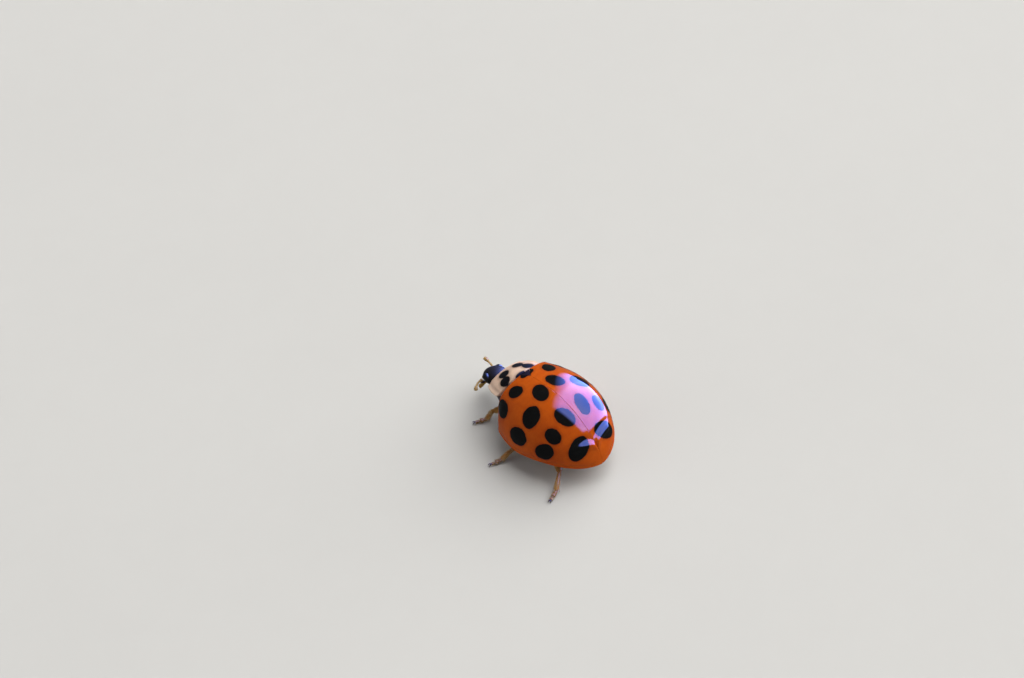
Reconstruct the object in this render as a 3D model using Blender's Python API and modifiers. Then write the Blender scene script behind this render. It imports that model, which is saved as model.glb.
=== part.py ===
"""Spotted harlequin ladybird, standing on its six feet: a life-size still model.

Lengths are millimetres and angles are degrees. The animal looks along -Y, its
left is +X, and its feet stand on z = 0. Shapes are worked out with y running
back from the base of the wing cases and z up from the plane of their margins;
place() puts such a point into the part's own frame.
"""
import math

import bmesh
import bpy
import numpy as np
from mathutils import Matrix, Vector

MM = 0.001

# Where the base of the wing cases sits over the feet and in the whole length
# and width.
MARGIN_HEIGHT = 0.92
BASE_X = -0.245
BASE_Y = -0.555
GAP = 0.035          # clearance between neighbouring plates

# Wing cases (elytra): one dome, parted along the suture.
CASE_LENGTH = 4.88
CASE_HALF_WIDTH = 2.40
CASE_HEIGHT = 2.51
CASE_THICKNESS = 0.50
WIDEST_AT = 0.33     # share of the length where the dome is widest
HIGHEST_AT = 0.40    # share of the length where it is highest
BASE_SWEEP = 0.30    # how far the shoulders reach forward of the suture
SHOULDER_TUCK = 0.13  # how much the shoulders round in at the base
MARGIN_ARCH = 0.22   # how far the margins rise over the hind legs
BASE_LIP = 0.26      # how far the bases run on forward, up to the shield

# Scutellum, the small triangle between the bases of the wing cases.
SCUTELLUM_HALF_WIDTH = 0.30
SCUTELLUM_TIP = 0.16  # where it ends on the suture

# Trunk under the wing cases, and the joints of its belly plates as shares.
TRUNK_DEPTH = 0.10
TRUNK_JOINTS = (0.36, 0.50, 0.615, 0.72, 0.82)

# Pronotum, the cream shield over the front of the thorax. The whole
# forebody is turned a little and shifted towards the left.
SHIELD_FRONT = 1.55   # its front edge, from the base of the wing cases
SHIELD_HALF_WIDTH = 1.36
SHIELD_THICKNESS = 0.45
FOREBODY_LEAN = 3.0  # left side down
FOREBODY_YAW = -4.0
FOREBODY_SHIFT = (0.15, -0.06, 0.0)
LEAN_AXIS_HEIGHT = 1.10
FORE_END_Y = -1.46   # front of the thorax, before it is turned
NECK_Y = -1.62       # the plane where the head is cut off behind

# Head and what it carries, from the head's centre.
HEAD_CENTRE = (0.22, -2.19, 0.43)
HEAD_RADII = (0.58, 0.70, 0.42)
HEAD_YAW = 14.0      # turned a little to its own left
HEAD_NOD = 14.0      # front down
HEAD_LEAN = -16.0    # left side up
EYE_OFFSET = (0.46, -0.22, 0.10)
EYE_RADII = (0.17, 0.22, 0.21)
EYE_TOE_IN = 18.0
LIP_OFFSET = (0.0, -0.67, -0.16)
LIP_RADII = (0.29, 0.22, 0.15)
FEELERS = {
    "left": ((0.62, -0.58, -0.15), (0.78, -0.58, -0.21), (0.92, -0.54, -0.29), (1.02, -0.47, -0.38)),
    "right": ((-0.58, -0.68, 0.00), (-0.63, -0.86, 0.11), (-0.67, -1.06, 0.21), (-0.68, -1.24, 0.30)),
}
FEELER_RADII = (0.19, 0.20, 0.225, 0.21)
PALP = ((0.25, -0.64, -0.49), (0.34, -0.81, -0.61))
PALP_RADII = (0.17, 0.20)

# Hip, knee, ankle and tip of each left leg. The right legs are drawn in under
# the body: their knee, ankle and tip stand this far inwards and backwards of
# the mirrored ones.
LEG_JOINTS = {
    "front": ((0.45, -0.55, -0.40), (1.40, -1.17, -0.24), (1.66, -1.36, -0.66), (2.15, -1.62, -0.70)),
    "middle": ((0.60, 0.62, -0.37), (2.02, 1.12, -0.42), (2.78, 0.93, -0.68), (3.25, 0.78, -0.70)),
    "hind": ((0.62, 1.85, -0.38), (1.58, 3.64, -0.40), (2.22, 4.06, -0.68), (2.70, 4.24, -0.70)),
}
RIGHT_DRAWN = {
    "front": ((0.0, -0.09), (0.0, -0.18), (0.0, -0.18)),
    "middle": ((0.15, 0.08), (0.42, 0.16), (0.49, 0.16)),
    "hind": ((-0.42, -0.89), (0.77, -0.76), (1.70, -0.69)),
}
FEMUR_RADIUS = 0.27
TIBIA_RADIUS = 0.235
TARSUS_RADIUS = 0.235

COLOURS = {
    "orange": ((0.520, 0.085, 0.010), 0.22),
    "cream": ((0.640, 0.480, 0.330), 0.35),
    "black": ((0.012, 0.010, 0.010), 0.28),
    "eye": ((0.010, 0.012, 0.016), 0.15),
    "amber": ((0.360, 0.170, 0.035), 0.40),
    "brown": ((0.130, 0.048, 0.016), 0.42),
    "tan": ((0.230, 0.080, 0.022), 0.45),
}


def place(x, y, z):
    """A point given from the base of the wing cases, in the part's frame."""
    return Vector((x + BASE_X, y + BASE_Y, z + MARGIN_HEIGHT)) * MM


# --- materials, objects and modifiers ---------------------------------------

def material(key):
    """The Principled material of one colour, made once."""
    found = bpy.data.materials.get("ladybird_" + key)
    if found:
        return found
    colour, roughness = COLOURS[key]
    made = bpy.data.materials.new("ladybird_" + key)
    made.use_nodes = True
    shader = made.node_tree.nodes["Principled BSDF"]
    shader.inputs["Base Color"].default_value = (*colour, 1.0)
    shader.inputs["Roughness"].default_value = roughness
    shader.inputs["Metallic"].default_value = 0.0
    return made


def add(name, mesh, colour, collection, root, matrix=None):
    """Link a mesh as one named object under the root."""
    if not mesh.materials:
        mesh.materials.append(material(colour))
    mesh.shade_smooth()
    mesh.set_sharp_from_angle(angle=math.radians(40))
    made = bpy.data.objects.new(name, mesh)
    bpy.data.collections[collection].objects.link(made)
    made.parent = root
    if matrix is not None:
        made.matrix_world = matrix
    return made


def cutter(name, mesh, root, matrix=None):
    """A solid that only cuts others: kept out of the part itself."""
    made = add(name, mesh, "black", "ladybird cutters", root, matrix)
    made.hide_render = True
    made.display_type = "WIRE"
    return made


def cut(target, tool, operation="DIFFERENCE"):
    """A live Boolean of target with tool."""
    modifier = target.modifiers.new(tool.name, "BOOLEAN")
    modifier.operation = operation
    modifier.solver = "EXACT"
    modifier.object = tool


def mesh_from(name, bm):
    bmesh.ops.remove_doubles(bm, verts=bm.verts, dist=1e-7)
    bmesh.ops.dissolve_degenerate(bm, edges=bm.edges, dist=1e-8)
    bmesh.ops.recalc_face_normals(bm, faces=bm.faces)
    mesh = bpy.data.meshes.new(name)
    bm.to_mesh(mesh)
    bm.free()
    return mesh


def moulded_grid(name, across, along, rule):
    """An open grid whose every point (u, v), each 0 to 1, is moved by a rule."""
    bm = bmesh.new()
    bmesh.ops.create_grid(bm, x_segments=along, y_segments=across, size=0.5)
    for vertex in bm.verts:
        vertex.co = place(*rule(vertex.co.x + 0.5, vertex.co.y + 0.5))
    return mesh_from(name, bm)


def moulded_block(name, cuts, rule):
    """A cube with its faces divided, every point (u, v, w) moved by a rule."""
    bm = bmesh.new()
    bmesh.ops.create_cube(bm, size=1.0)
    bmesh.ops.subdivide_edges(bm, edges=bm.edges, cuts=cuts, use_grid_fill=True)
    for vertex in bm.verts:
        vertex.co = place(*rule(*(c + 0.5 for c in vertex.co)))
    return mesh_from(name, bm)


def box_mesh(name, low, high):
    """A plain box between two corners."""
    return moulded_block(name, 0, lambda *share: [a + (b - a) * s for a, b, s in zip(low, high, share)])


def ellipsoid_mesh(name, radii, segments, rings):
    """An ellipsoid about the origin, its poles fore and aft."""
    bm = bmesh.new()
    bmesh.ops.create_uvsphere(bm, u_segments=segments, v_segments=rings, radius=1.0,
                              matrix=Matrix.Rotation(math.pi / 2, 4, "X"))
    bmesh.ops.scale(bm, vec=[r * MM for r in radii], verts=bm.verts)
    return mesh_from(name, bm)


# --- wing cases, scutellum and trunk ----------------------------------------

def dome_half_width(t):
    """Half-width at share t: an ellipse in front, a fuller curve behind."""
    if t < WIDEST_AT:
        return CASE_HALF_WIDTH * math.sqrt(1 - ((WIDEST_AT - t) / 0.60) ** 2)
    run = min((t - WIDEST_AT) / (1 - WIDEST_AT), 1.0)
    return CASE_HALF_WIDTH * max(1 - run ** 1.85, 0.0) ** (1 / 1.85)


def dome_height(t):
    """Height over the margins at share t, built like the half-width."""
    if t < HIGHEST_AT:
        return CASE_HEIGHT * math.sqrt(1 - ((HIGHEST_AT - t) / 0.785) ** 2)
    run = min((t - HIGHEST_AT) / (1 - HIGHEST_AT), 1.0)
    return CASE_HEIGHT * max(1 - run ** 1.77, 0.0) ** (1 / 1.77)


def dome_point(t, side, depth=0.0):
    """A point of the dome: t 0 at the base to 1 at the tip, side -1 to 1.

    Side 0 is the suture and 1 the left margin. depth shrinks the dome towards
    the middle of its margin plane, and leaves the lip of the base out.
    """
    angle = side * math.pi / 2
    reach = abs(math.sin(angle))
    shoulder = min(1.0, max(0.0, (abs(side) - 0.45) / 0.45))
    tuck = 1 - SHOULDER_TUCK * shoulder * max(0.0, 1 - t / 0.10) ** 2
    arch = math.sin(math.pi * min(max((t - 0.35) / 0.65, 0.0), 1.0))
    x = dome_half_width(t) * tuck * math.sin(angle)
    lip = BASE_LIP * (1 - reach ** 6) * max(0.0, 1 - t / 0.12) ** 2 * (depth == 0.0)
    y = CASE_LENGTH * t - BASE_SWEEP * reach ** 2 * (1 - t) ** 2 - lip
    z = dome_height(t) * tuck * max(math.cos(angle), 0.0) ** 0.915 + MARGIN_ARCH * arch * reach ** 3
    return (x * (1 - depth / CASE_HALF_WIDTH), y * (1 - depth / CASE_LENGTH), z * (1 - depth / CASE_HEIGHT))


def even_share(u):
    """Shares that crowd towards both ends, where the dome turns fastest."""
    return 0.5 - 0.5 * math.cos(math.pi * u)


def wing_cases(root):
    """Both wing cases and the scutellum: one shell, parted by thin cuts."""
    dome = moulded_grid("wing case dome", 22, 18, lambda u, v: dome_point(even_share(u), 2 * v - 1))
    far = 5.0
    halves = {"left": box_mesh("right side", (-far, -far, -far), (GAP / 2, 2 * far, far)),
              "right": box_mesh("left side", (-GAP / 2, -far, -far), (far, 2 * far, far))}

    def wedge(name, grow):
        """A three-sided prism that points back along the suture."""
        def rule(u, v, w):
            y = SCUTELLUM_TIP - 1.0 + w
            half = SCUTELLUM_HALF_WIDTH * max((SCUTELLUM_TIP - y) / (SCUTELLUM_TIP + BASE_LIP), 0.02) + grow
            return (2 * u - 1) * half, y + grow * w, 1.0 + 2.0 * v
        return moulded_block(name, 0, rule)

    notch = cutter("scutellum notch", wedge("scutellum notch", GAP), root)
    core = cutter("scutellum core", wedge("scutellum core", 0.0), root)
    for side, other in halves.items():
        case = add(f"elytron_{side}", dome.copy(), "orange", "ladybird", root)
        thicken(case, CASE_THICKNESS)
        cut(case, cutter(other.name, other, root))
        cut(case, notch)
    plate = add("scutellum", dome.copy(), "black", "ladybird", root)
    thicken(plate, CASE_THICKNESS)
    cut(plate, core, "INTERSECT")


def thicken(target, thickness):
    """Give an open surface its wall, inwards."""
    wall = target.modifiers.new("wall", "SOLIDIFY")
    wall.thickness = thickness * MM
    wall.offset = -1.0


def trunk(root):
    """The thorax and five belly plates: one body, parted by thin cuts."""
    depth = CASE_THICKNESS + 3 * GAP

    def rule(u, v, w):
        side = 2 * v - 1
        t = 0.015 + 0.985 * even_share(u)
        inner = depth + 0.34 * max(0.0, 1 - t / 0.20)
        x, y, roof = dome_point(t, side, inner)
        rim = max(abs(dome_point(t, 1.0, inner)[0]), 1e-6)
        belly = -TRUNK_DEPTH * min(1.0, 4 * (1 - t)) * (1 - (x / rim) ** 4)
        return x, y, belly + (roof - belly) * w

    body = moulded_block("trunk", 13, rule)
    edges = (-0.05, *TRUNK_JOINTS, 1.1)
    names = ["thorax"] + [f"abdomen_{k}" for k in range(1, len(edges) - 1)]
    for name, start, end in zip(names, edges, edges[1:]):
        piece = add(name, body.copy(), "brown" if name == "thorax" else "tan", "ladybird", root)
        span = box_mesh(name + " span", (-3, start * CASE_LENGTH + GAP / 2, -1),
                        (3, end * CASE_LENGTH - GAP / 2, 4))
        cut(piece, cutter(name + " span", span, root), "INTERSECT")


# --- shield and front of the thorax -----------------------------------------

def posed(x, y, z):
    """A point of the forebody, leaned, turned and shifted."""
    turn = Matrix.Rotation(math.radians(FOREBODY_YAW), 3, "Z") @ Matrix.Rotation(math.radians(FOREBODY_LEAN), 3, "Y")
    moved = turn @ Vector((x, y, z - LEAN_AXIS_HEIGHT)) + Vector(FOREBODY_SHIFT)
    return moved.x, moved.y, moved.z + LEAN_AXIS_HEIGHT


def shield_point(a, b, drop=0.0):
    """A point of the shield, a -1 to 1 across and b 0 to 1 from back to front."""
    across = math.sin(a * math.pi / 2)
    bow = across ** 2
    run = 0.15 + 0.85 * b
    crest = 2.14 - 0.32 * run - 0.46 * run * run
    edge = 1.36 - 0.09 * run - 0.46 * run * run
    back = -0.27 - 0.16 * bow
    front = -SHIELD_FRONT - 0.12 * bow
    x = SHIELD_HALF_WIDTH * (1 + 0.12 * run - 0.31 * run * run) * across
    return x, back + (front - back) * b, crest - (crest - edge) * bow - drop


def shield(root):
    """The pronotum: an arched plate."""
    mesh = moulded_grid("pronotum", 10, 18, lambda u, v: posed(*shield_point(1 - 2 * v, u)))
    thicken(add("pronotum", mesh, "cream", "ladybird", root), SHIELD_THICKNESS)


def foreparts(root):
    """The front of the thorax under the shield, down to its belly plate."""
    def rule(u, v, w):
        side = 2 * v - 1
        x, _, roof = shield_point(side * 0.58, 0.06 + 0.94 * u, 1.34 * SHIELD_THICKNESS + GAP)
        belly = -0.02 + 0.24 * u * u - 0.06 * (1 - side * side) + 0.25 * side ** 4
        start = -0.14 - 0.12 * side * side
        return posed(x, start + (FORE_END_Y - start) * u, belly + (roof - belly) * w)
    add("prosternum", moulded_block("prosternum", 7, rule), "brown", "ladybird", root)


# --- head -------------------------------------------------------------------

def head(root):
    """Head capsule with eyes in sockets, lip, feelers and palps."""
    turn = (Matrix.Rotation(math.radians(HEAD_YAW), 4, "Z") @ Matrix.Rotation(math.radians(HEAD_NOD), 4, "X")
            @ Matrix.Rotation(math.radians(HEAD_LEAN), 4, "Y"))

    def spot(x, y, z):
        return tuple(c + m for c, m in zip(HEAD_CENTRE, turn @ Vector((x, y, z))))

    def at(point, extra=0.0):
        return Matrix.Translation(place(*spot(*point))) @ turn @ Matrix.Rotation(math.radians(extra), 4, "Z")

    capsule = add("head", ellipsoid_mesh("head", HEAD_RADII, 24, 14), "black", "ladybird", root, at((0, 0, 0)))
    for side, sign in (("left", 1), ("right", -1)):
        x, y, z = EYE_OFFSET
        seat = at((sign * x, y, z), -sign * EYE_TOE_IN)
        socket = ellipsoid_mesh("socket", [r + GAP / 2 for r in EYE_RADII], 16, 10)
        cut(capsule, cutter(f"socket {side}", socket, root, seat))
        add(f"eye_{side}", ellipsoid_mesh("eye", EYE_RADII, 16, 10), "eye", "ladybird", root, seat)
        limb(f"antenna_{side}", [spot(*point) for point in FEELERS[side]], FEELER_RADII, "amber", root)
        limb(f"palp_{side}", [spot(sign * a, b, c) for a, b, c in PALP], PALP_RADII, "amber", root)
    neck = cutter("neck", box_mesh("neck", (-1.2, NECK_Y, -0.6), (1.2, -0.6, 2.2)), root)
    cut(capsule, neck)
    lip = add("labrum", ellipsoid_mesh("labrum", LIP_RADII, 16, 10), "amber", "ladybird", root, at(LIP_OFFSET))
    room = ellipsoid_mesh("head room", [r + GAP for r in HEAD_RADII], 24, 14)
    cut(lip, cutter("head room", room, root, at((0, 0, 0))))


# --- limbs ------------------------------------------------------------------

def limb(name, points, radii, colour, root, floor=False):
    """A tapered limb with rounded ends: a bevelled curve made a mesh.

    A piece that stands on the floor has its underside pressed flat there.
    """
    path = [place(*p) for p in points]
    start, end = (path[0] - path[1]).normalized(), (path[-1] - path[-2]).normalized()
    first, last = radii[0], radii[-1]
    stations = [(path[0] + start * (0.95 * first * MM), 0.30 * first), (path[0] + start * (0.62 * first * MM), 0.75 * first)]
    stations += list(zip(path, radii))
    stations += [(path[-1] + end * (0.62 * last * MM), 0.75 * last), (path[-1] + end * (0.95 * last * MM), 0.30 * last)]

    curve = bpy.data.curves.new(name, "CURVE")
    curve.dimensions = "3D"
    curve.bevel_depth = MM
    curve.bevel_resolution = 3
    curve.use_fill_caps = True
    spline = curve.splines.new("POLY")
    spline.points.add(len(stations) - 1)
    for point, (centre, radius) in zip(spline.points, stations):
        point.co = (*centre, 1.0)
        point.radius = radius
    guide = bpy.data.objects.new(name + " guide", curve)
    bpy.data.collections["ladybird cutters"].objects.link(guide)
    bpy.context.view_layer.update()
    drawn = bpy.data.meshes.new_from_object(guide.evaluated_get(bpy.context.evaluated_depsgraph_get()))
    bpy.data.objects.remove(guide)

    bm = bmesh.new()
    bm.from_mesh(drawn)
    if floor:
        for vertex in bm.verts:
            vertex.co.z = max(vertex.co.z, 0.0)
    mesh = mesh_from(name, bm)
    mesh.materials.clear()
    add(name, mesh, colour, "ladybird", root)


def between(start, end, from_start, from_end, shares):
    """Points at the given shares of a line, drawn in by a length at each end."""
    a, b = np.array(start), np.array(end)
    along = (b - a) / np.linalg.norm(b - a)
    a, b = a + along * from_start, b - along * from_end
    return [tuple(a + (b - a) * s) for s in shares]


def clear_of_bend(before, bend, after, first, second):
    """How far two rounded ends stop short of a bend so that they only meet."""
    into, out = np.subtract(bend, before), np.subtract(after, bend)
    straight = into @ out / np.linalg.norm(into) / np.linalg.norm(out)
    share = (first + second + GAP / 2) / math.sqrt(first ** 2 + second ** 2 + 2 * first * second * straight)
    return share * first, share * second


def leg(which, sign, side, root):
    """Femur, tibia and tarsus of one leg."""
    drawn = ((0.0, 0.0),) + (RIGHT_DRAWN[which] if sign < 0 else ((0.0, 0.0),) * 3)
    hip, knee, ankle, tip = [(sign * (x - inward), y + back, z)
                             for (x, y, z), (inward, back) in zip(LEG_JOINTS[which], drawn)]
    femur = [share * FEMUR_RADIUS for share in (0.78, 1.0, 1.0, 0.80)]
    tibia = [share * TIBIA_RADIUS for share in (0.82, 0.90, 0.95)]
    tarsus = [share * TARSUS_RADIUS for share in (0.90, 1.0, 0.85)]
    femur_end, tibia_start = clear_of_bend(hip, knee, ankle, femur[-1], tibia[0])
    tibia_end, tarsus_start = clear_of_bend(knee, ankle, tip, tibia[-1], tarsus[0])
    limb(f"femur_{which}_{side}", between(hip, knee, 0.0, femur_end, (0, 0.3, 0.65, 1)), femur, "tan", root)
    limb(f"tibia_{which}_{side}", between(knee, ankle, tibia_start, tibia_end, (0, 0.5, 1)), tibia, "tan", root)
    limb(f"tarsus_{which}_{side}", between(ankle, tip, tarsus_start, 0.0, (0, 0.5, 1)), tarsus, "brown", root,
         floor=True)


def build():
    for existing in list(bpy.data.objects):
        bpy.data.objects.remove(existing, do_unlink=True)
    for name in ("ladybird", "ladybird cutters"):
        bpy.context.scene.collection.children.link(bpy.data.collections.new(name))
    root = bpy.data.objects.new("ladybird", None)
    bpy.data.collections["ladybird"].objects.link(root)

    wing_cases(root)
    trunk(root)
    shield(root)
    foreparts(root)
    head(root)
    for side, sign in (("left", 1), ("right", -1)):
        for which in LEG_JOINTS:
            leg(which, sign, side, root)


build()
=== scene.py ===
"""Spotted harlequin ladybird, life size: its looks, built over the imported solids.

Shapes are worked out in millimetres, with y running back from the base of the
wing cases and z up from the plane of their margins. place() puts such points
into the part's own frame, in metres.
"""
import math

import bmesh
import bpy
import numpy as np
from bpy.props import FloatProperty, FloatVectorProperty, IntProperty, PointerProperty
from mathutils import Matrix, Vector


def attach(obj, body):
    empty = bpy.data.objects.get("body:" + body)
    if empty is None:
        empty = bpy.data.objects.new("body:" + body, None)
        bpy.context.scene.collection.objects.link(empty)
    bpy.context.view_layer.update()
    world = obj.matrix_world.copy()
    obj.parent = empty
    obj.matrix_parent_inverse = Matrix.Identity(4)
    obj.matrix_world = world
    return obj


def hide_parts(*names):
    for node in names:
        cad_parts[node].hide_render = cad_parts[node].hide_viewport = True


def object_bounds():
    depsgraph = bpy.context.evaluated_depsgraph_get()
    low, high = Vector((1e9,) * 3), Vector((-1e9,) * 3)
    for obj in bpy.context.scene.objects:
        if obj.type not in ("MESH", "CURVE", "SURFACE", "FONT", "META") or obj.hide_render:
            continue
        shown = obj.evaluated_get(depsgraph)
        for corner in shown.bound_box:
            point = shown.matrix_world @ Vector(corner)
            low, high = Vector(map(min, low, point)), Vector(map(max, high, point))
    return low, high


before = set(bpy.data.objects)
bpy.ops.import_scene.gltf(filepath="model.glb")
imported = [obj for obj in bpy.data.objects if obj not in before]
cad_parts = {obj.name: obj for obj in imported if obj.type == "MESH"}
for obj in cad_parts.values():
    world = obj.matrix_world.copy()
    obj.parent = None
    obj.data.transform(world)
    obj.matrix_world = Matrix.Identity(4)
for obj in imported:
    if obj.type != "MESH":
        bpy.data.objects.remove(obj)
solid_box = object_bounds()

bl_info = {
    "name": "Spotted ladybird",
    "version": (1, 0, 0),
    "blender": (4, 5, 0),
    "location": "3D View > Sidebar > Ladybird",
    "description": "A life-size spotted harlequin ladybird with its plates, legs, feelers and bristles",
    "category": "Add Mesh",
}

MM = 0.001

# The dome of the wing cases, and where it sits over the feet.
BASE_X, BASE_Y, MARGIN_HEIGHT = -0.245, -0.555, 0.92
GAP = 0.035
PARTING = 0.002
CASE_LENGTH, CASE_HALF_WIDTH, CASE_HEIGHT = 4.88, 2.40, 2.51
WIDEST_AT, WIDTH_FRONT, WIDTH_POWER = 0.33, 0.60, 1.85
HIGHEST_AT, HEIGHT_FRONT, HEIGHT_POWER = 0.40, 0.785, 1.77
SECTION_POWER = 0.915
BASE_SWEEP, SHOULDER_TUCK, MARGIN_ARCH, BASE_LIP = 0.30, 0.13, 0.22, 0.26
SCUTELLUM_HALF_WIDTH, SCUTELLUM_TIP = 0.30, 0.16
TRUNK_TOP_DEPTH, TRUNK_DEPTH = 0.605, 0.10
TRUNK_NECK_DEPTH, TRUNK_NECK_SHARE = 0.34, 0.20
TRUNK_JOINTS = (0.36, 0.50, 0.615, 0.72, 0.82)

# The forebody: shield, front of the thorax and head.
SHIELD_FRONT, SHIELD_HALF_WIDTH, SHIELD_THICKNESS = 1.55, 1.36, 0.45
FOREBODY_LEAN, FOREBODY_YAW = 3.0, -4.0
FOREBODY_SHIFT, LEAN_AXIS_HEIGHT = (0.15, -0.06, 0.0), 1.10
FORE_END_Y, NECK_Y = -1.46, -1.62
HEAD_CENTRE, HEAD_RADII = (0.22, -2.19, 0.43), (0.58, 0.70, 0.42)
HEAD_YAW, HEAD_NOD, HEAD_LEAN = 14.0, 14.0, -16.0
EYE_OFFSET, EYE_RADII, EYE_TOE_IN = (0.46, -0.22, 0.10), (0.17, 0.22, 0.21), 18.0
LIP_OFFSET, LIP_RADII = (0.0, -0.67, -0.16), (0.29, 0.22, 0.15)
FEELERS = {
    "left": ((0.44, -0.50, -0.10), (0.63, -0.57, -0.15), (0.80, -0.57, -0.22),
             (0.93, -0.53, -0.30), (1.03, -0.46, -0.39)),
    "right": ((-0.44, -0.50, -0.10), (-0.56, -0.68, 0.01), (-0.63, -0.88, 0.12),
              (-0.67, -1.08, 0.22), (-0.68, -1.27, 0.31)),
}
# Relative length and radius of a feeler's joints; the last three are its club.
FEELER_LENGTHS = (2.0, 1.2, 1.5, 1.1, 1.1, 1.0, 1.0, 1.0, 1.25, 1.35, 1.5)
FEELER_RADII = (0.080, 0.066, 0.054, 0.051, 0.050, 0.050, 0.052, 0.058, 0.082, 0.100, 0.095)
JAW = ((0.26, -0.56, -0.34), (0.28, -0.74, -0.36), (0.16, -0.88, -0.37), (0.03, -0.90, -0.37))
PALP = ((0.19, -0.50, -0.33), (0.25, -0.64, -0.45), (0.33, -0.78, -0.57), (0.37, -0.85, -0.63))

# Hip, knee, ankle and tip of each left leg. The right legs are drawn in under
# the body: their knee, ankle and tip stand this far inwards and backwards of
# the mirrored ones.
LEG_JOINTS = {
    "front": ((0.45, -0.55, -0.40), (1.40, -1.17, -0.24), (1.66, -1.36, -0.78), (2.15, -1.62, -0.82)),
    "middle": ((0.60, 0.62, -0.36), (2.02, 1.12, -0.38), (2.78, 0.93, -0.78), (3.25, 0.78, -0.82)),
    "hind": ((0.62, 1.85, -0.37), (1.58, 3.64, -0.36), (2.22, 4.06, -0.78), (2.70, 4.24, -0.82)),
}
RIGHT_DRAWN = {
    "front": ((0.0, -0.09), (0.0, -0.18), (0.0, -0.18)),
    "middle": ((0.15, 0.08), (0.42, 0.16), (0.49, 0.16)),
    "hind": ((-0.42, -0.89), (0.77, -0.76), (1.70, -0.69)),
}

# Claws: the angle in radians between each one and the foot, then the reach and
# rise of the hook's and the tooth's points from the foot's end.
CLAW_SPREAD = 0.45
CLAW_HOOK = ((0.07, 0.035), (0.15, 0.0), (0.165, -0.065))
CLAW_TOOTH = ((0.06, 0.02), (0.08, -0.015), (0.085, -0.055))

# Black spots of the left wing case: share of the length, degrees from the
# suture, half-length and half-width, and the turn of the long axis from
# fore-and-aft towards the margin. These values, and those for the right wing
# case, were worked out by a separate fitting program and then rounded; they
# weren't set by hand.
SPOTS = (
    (0.075, 28.0, 0.40, 0.32, -45.0), (0.285, 10.5, 0.51, 0.38, 15.0), (0.07, 55.5, 0.48, 0.39, 15.0),
    (0.39, 39.0, 0.54, 0.45, 85.0), (0.36, 67.5, 0.54, 0.46, -15.0), (0.66, 43.5, 0.42, 0.34, 10.0),
    (0.65, 71.0, 0.50, 0.41, -45.0), (0.63, 13.5, 0.54, 0.38, -10.0), (0.87, 37.5, 0.64, 0.42, 80.0),
)
# The right wing case's own values for the two spots that aren't mirrored ones.
RIGHT_SPOTS = {1: (0.265, 13.0, 0.50, 0.35, 15.0), 7: (0.625, 16.5, 0.58, 0.34, -10.0)}

# The spot that both wing cases share at their base: place, half-length, half-width.
SHARED_SPOT_AT, SHARED_SPOT = 0.020, (0.20, 0.38)
# Black marks of the shield: share across and forwards, half-length, half-width
# and turn. Each of these has a twin on the other side; the middle one stands alone.
SHIELD_MARKS = ((0.33, 0.25, 0.31, 0.29, 0.0), (0.20, 0.64, 0.32, 0.27, 20.0))
MIDDLE_MARK = (0.0, 0.0, 0.14, 0.28, 0.0)
UNMARKED = 9.0

BRISTLE_SEED, BELLY_BRISTLES = 19, 900
# Bristles of a leg: the segment, its share of the number and of the full length.
LEG_BRISTLES = (("thigh", 0.5, 0.7), ("shin", 1.0, 1.0), ("foot", 1.0, 0.8))
SIDES = (("left", 1), ("right", -1))

# The camera, looking at the middle of the wing cases: degrees, mm.
CAMERA_AZIMUTH, CAMERA_ELEVATION, CAMERA_ROLL = 144.5, 49.1, -7.7
CAMERA_SHIFT, CAMERA_DISTANCE = (-2.40, 3.59), 129.7
LENS, SENSOR_WIDTH = 100.0, 36.0

# Floor and lights, in metres: where the large window and the weak fill stand.
FLOOR_HALF_SIZE = 0.6
WINDOW, WINDOW_ROLL, FILL = (-0.70, 0.10, 0.70), 30.0, (0.75, -0.45, 0.55)
GLOW_DISTANCE, GLOW_SIZE, GLOW_SLIDE = 0.070, (0.120, 0.2345), -0.0437
WINDOW_DISTANCE, WINDOW_SIZE = 0.80, (1.26, 1.26)
FILL_DISTANCE, FILL_SIZE = 0.90, (0.75, 0.75)


# --- shapes of the dome, shield and head -------------------------------------

def place(points):
    """Points in mm from the base of the wing cases, put into the part's frame in metres."""
    return (np.asarray(points, float) + (BASE_X, BASE_Y, MARGIN_HEIGHT)) * MM


def eased(x):
    """0 to 1 with level ends: 3x² - 2x³, held outside that range."""
    x = np.clip(x, 0.0, 1.0)
    return x * x * (3 - 2 * x)


def hump(x, centre, width):
    """A bell curve of height 1 about its centre."""
    return np.exp(-((x - centre) / width) ** 2)


def rotation(degrees, axis, size=3):
    """A turn about one axis, as a matrix."""
    return Matrix.Rotation(math.radians(degrees), size, axis)


def arched(t, peak_at, front, power):
    """A run that is 1 at its peak: part of an ellipse in front, a fuller curve of the power behind."""
    fore = np.sqrt(1 - (np.clip(peak_at - t, 0, None) / front) ** 2)
    run = np.clip((t - peak_at) / (1 - peak_at), 0, 1)
    return np.where(t < peak_at, fore, np.clip(1 - run ** power, 0, None) ** (1 / power))


def dome_half_width(t):
    """Half-width of the dome at share t of its length."""
    return CASE_HALF_WIDTH * arched(t, WIDEST_AT, WIDTH_FRONT, WIDTH_POWER)


def dome_height(t):
    """Height of the dome over its margins at share t of its length."""
    return CASE_HEIGHT * arched(t, HIGHEST_AT, HEIGHT_FRONT, HEIGHT_POWER)


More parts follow.
